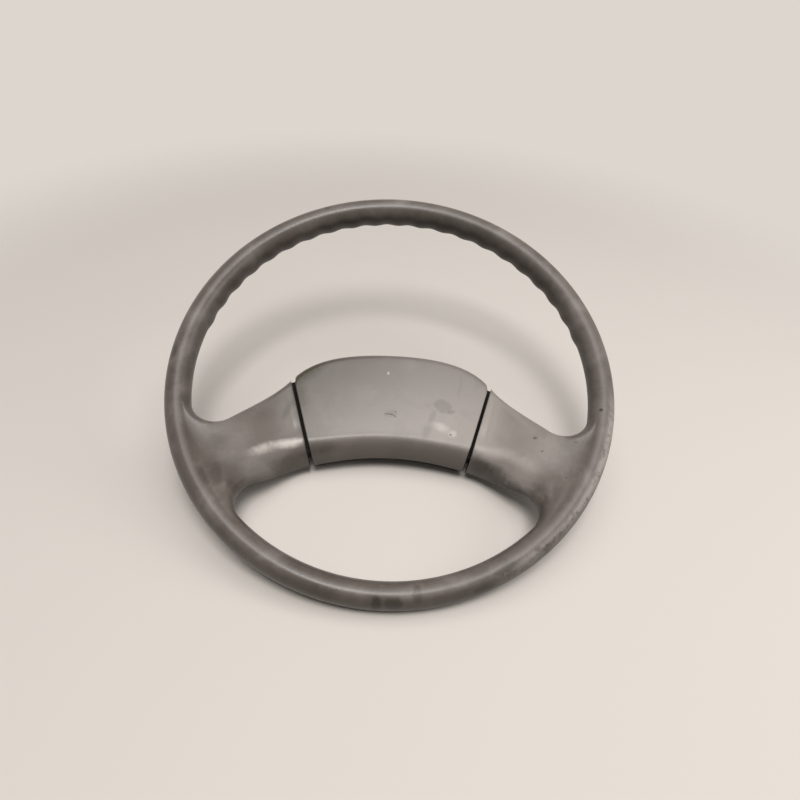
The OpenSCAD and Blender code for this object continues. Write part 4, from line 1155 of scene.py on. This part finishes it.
TABLE_COLOUR = srgb(216, 209, 202)
BOUNCE_COLOUR = srgb(120, 116, 111)
TABLE_CLEAR = 0.4
FLOOR_R = 1.5
FLOOR_SIDES = 96
FADE_FROM = 0.55
FADE_TO = 0.95


def floor_material():
    """Pale table top that fades into the background and is seen only from above."""
    n = Nodes("table")
    place = n.place()
    far = n.add("VectorMath", {0: place}, operation="LENGTH").outputs["Value"]
    fade = n.step(far, FADE_FROM, FADE_TO)
    back = n.add("NewGeometry").outputs["Backfacing"]
    gone = n.math("MAXIMUM", fade, back)
    path = n.add("LightPath").outputs
    seen = n.math("MAXIMUM", path["Is Camera Ray"],
                  n.math("MAXIMUM", path["Is Glossy Ray"], path["Is Transmission Ray"]))
    diffuse = n.add("BsdfDiffuse", {"Color": n.mix(seen, BOUNCE_COLOUR, TABLE_COLOUR)}).outputs[0]
    clear = n.add("BsdfTransparent").outputs[0]
    blend = n.add("MixShader", {0: gone, 1: diffuse, 2: clear}).outputs[0]
    n.tree.links.new(blend, n.out.inputs["Surface"])
    return n.material


def make_floor(angle, height):
    mesh = bpy.data.meshes.new("table")
    rim = [(*(FLOOR_R * way(360 * i / FLOOR_SIDES)), 0) for i in range(FLOOR_SIDES)]
    mesh.from_pydata(rim, [], [tuple(range(FLOOR_SIDES))])
    mesh.materials.append(floor_material())
    table = bpy.data.objects.new("table", mesh)
    bpy.context.scene.collection.objects.link(table)
    up = Vector((0, *way(angle)[::-1]))
    table.matrix_world = Matrix.Translation(up * (height - TABLE_CLEAR * MM)) @ Matrix.Rotation(
        -math.radians(angle), 4, "X")


WORLD_LEVEL = 0.12
LIGHT_TINT = (1.0, 0.99, 0.975)
BACKGROUND = srgb(221, 214, 207)


def make_world():
    world = bpy.data.worlds.new("studio")
    bpy.context.scene.world = world
    world.use_nodes = True
    tree = world.node_tree
    tree.nodes.clear()
    out = tree.nodes.new("ShaderNodeOutputWorld")
    light = tree.nodes.new("ShaderNodeBackground")
    light.inputs["Color"].default_value = (*LIGHT_TINT, 1)
    light.inputs["Strength"].default_value = WORLD_LEVEL
    seen = tree.nodes.new("ShaderNodeBackground")
    seen.inputs["Color"].default_value = BACKGROUND
    path = tree.nodes.new("ShaderNodeLightPath")
    plain = path.outputs["Is Camera Ray"]
    for kind in ("Is Glossy Ray", "Is Transmission Ray"):
        either = tree.nodes.new("ShaderNodeMath")
        either.operation = "MAXIMUM"
        tree.links.new(plain, either.inputs[0])
        tree.links.new(path.outputs[kind], either.inputs[1])
        plain = either.outputs[0]
    mixer = tree.nodes.new("ShaderNodeMixShader")
    tree.links.new(plain, mixer.inputs["Fac"])
    tree.links.new(light.outputs[0], mixer.inputs[1])
    tree.links.new(seen.outputs[0], mixer.inputs[2])
    tree.links.new(mixer.outputs[0], out.inputs["Surface"])


def area_light(name, place, size, power):
    """A square lamp at a place in metres that shines at the wheel's middle."""
    data = bpy.data.lights.new(name, "AREA")
    data.size = size
    data.energy = power
    data.color = LIGHT_TINT
    lamp = bpy.data.objects.new(name, data)
    bpy.context.scene.collection.objects.link(lamp)
    lamp.location = place
    lamp.rotation_mode = "QUATERNION"
    lamp.rotation_quaternion = (Vector(LAMP_AIM) - Vector(place)).to_track_quat("-Z", "Y")


LAMP_AIM = (0, 0, 0.05)
CEILING_PLACE = (0.2, 0.97, 2.41)
CEILING_SIZE = 2.4
CEILING_POWER = 34
KEY_PLACE = (0.05, 0.1, 2.6)
KEY_SIZE = 0.9
KEY_POWER = 36
FILL_PLACE = (1.2, 0.1, 0.9)
FILL_SIZE = 0.7
FILL_POWER = 4


def main():
    make_camera()
    grip_material = moulded("grip_skin", RIM_COLOUR, SPOKE_COLOUR, GRIP_MARKS, GRIP_ROUGH)
    pad_material = moulded("pad_skin", PAD_COLOUR, PAD_COLOUR, PAD_MARKS, PAD_ROUGH)
    cad_materials()
    smooth_nodes()
    grip = new_piece("grip_skin", grip_skin(), "wheel", grip_material, GRIP_SHARP,
                     [("UNION", both_ways(*ledge()), False)])
    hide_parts("grip")
    pad = new_piece("pad_skin", pad_skin(), "horn_pad", pad_material, PAD_SHARP, pad_cuts())
    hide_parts("pad_cover")
    new_piece("horn_sign", sign(), "horn_pad", pad_material, PAD_SHARP)
    soft_springs()
    angle, height = lean()
    make_floor(angle, height)
    make_world()
    area_light("ceiling", CEILING_PLACE, CEILING_SIZE, CEILING_POWER)
    area_light("lamp", KEY_PLACE, KEY_SIZE, KEY_POWER)
    area_light("window", FILL_PLACE, FILL_SIZE, FILL_POWER)
    bpy.context.scene.view_settings.view_transform = "Standard"


main()
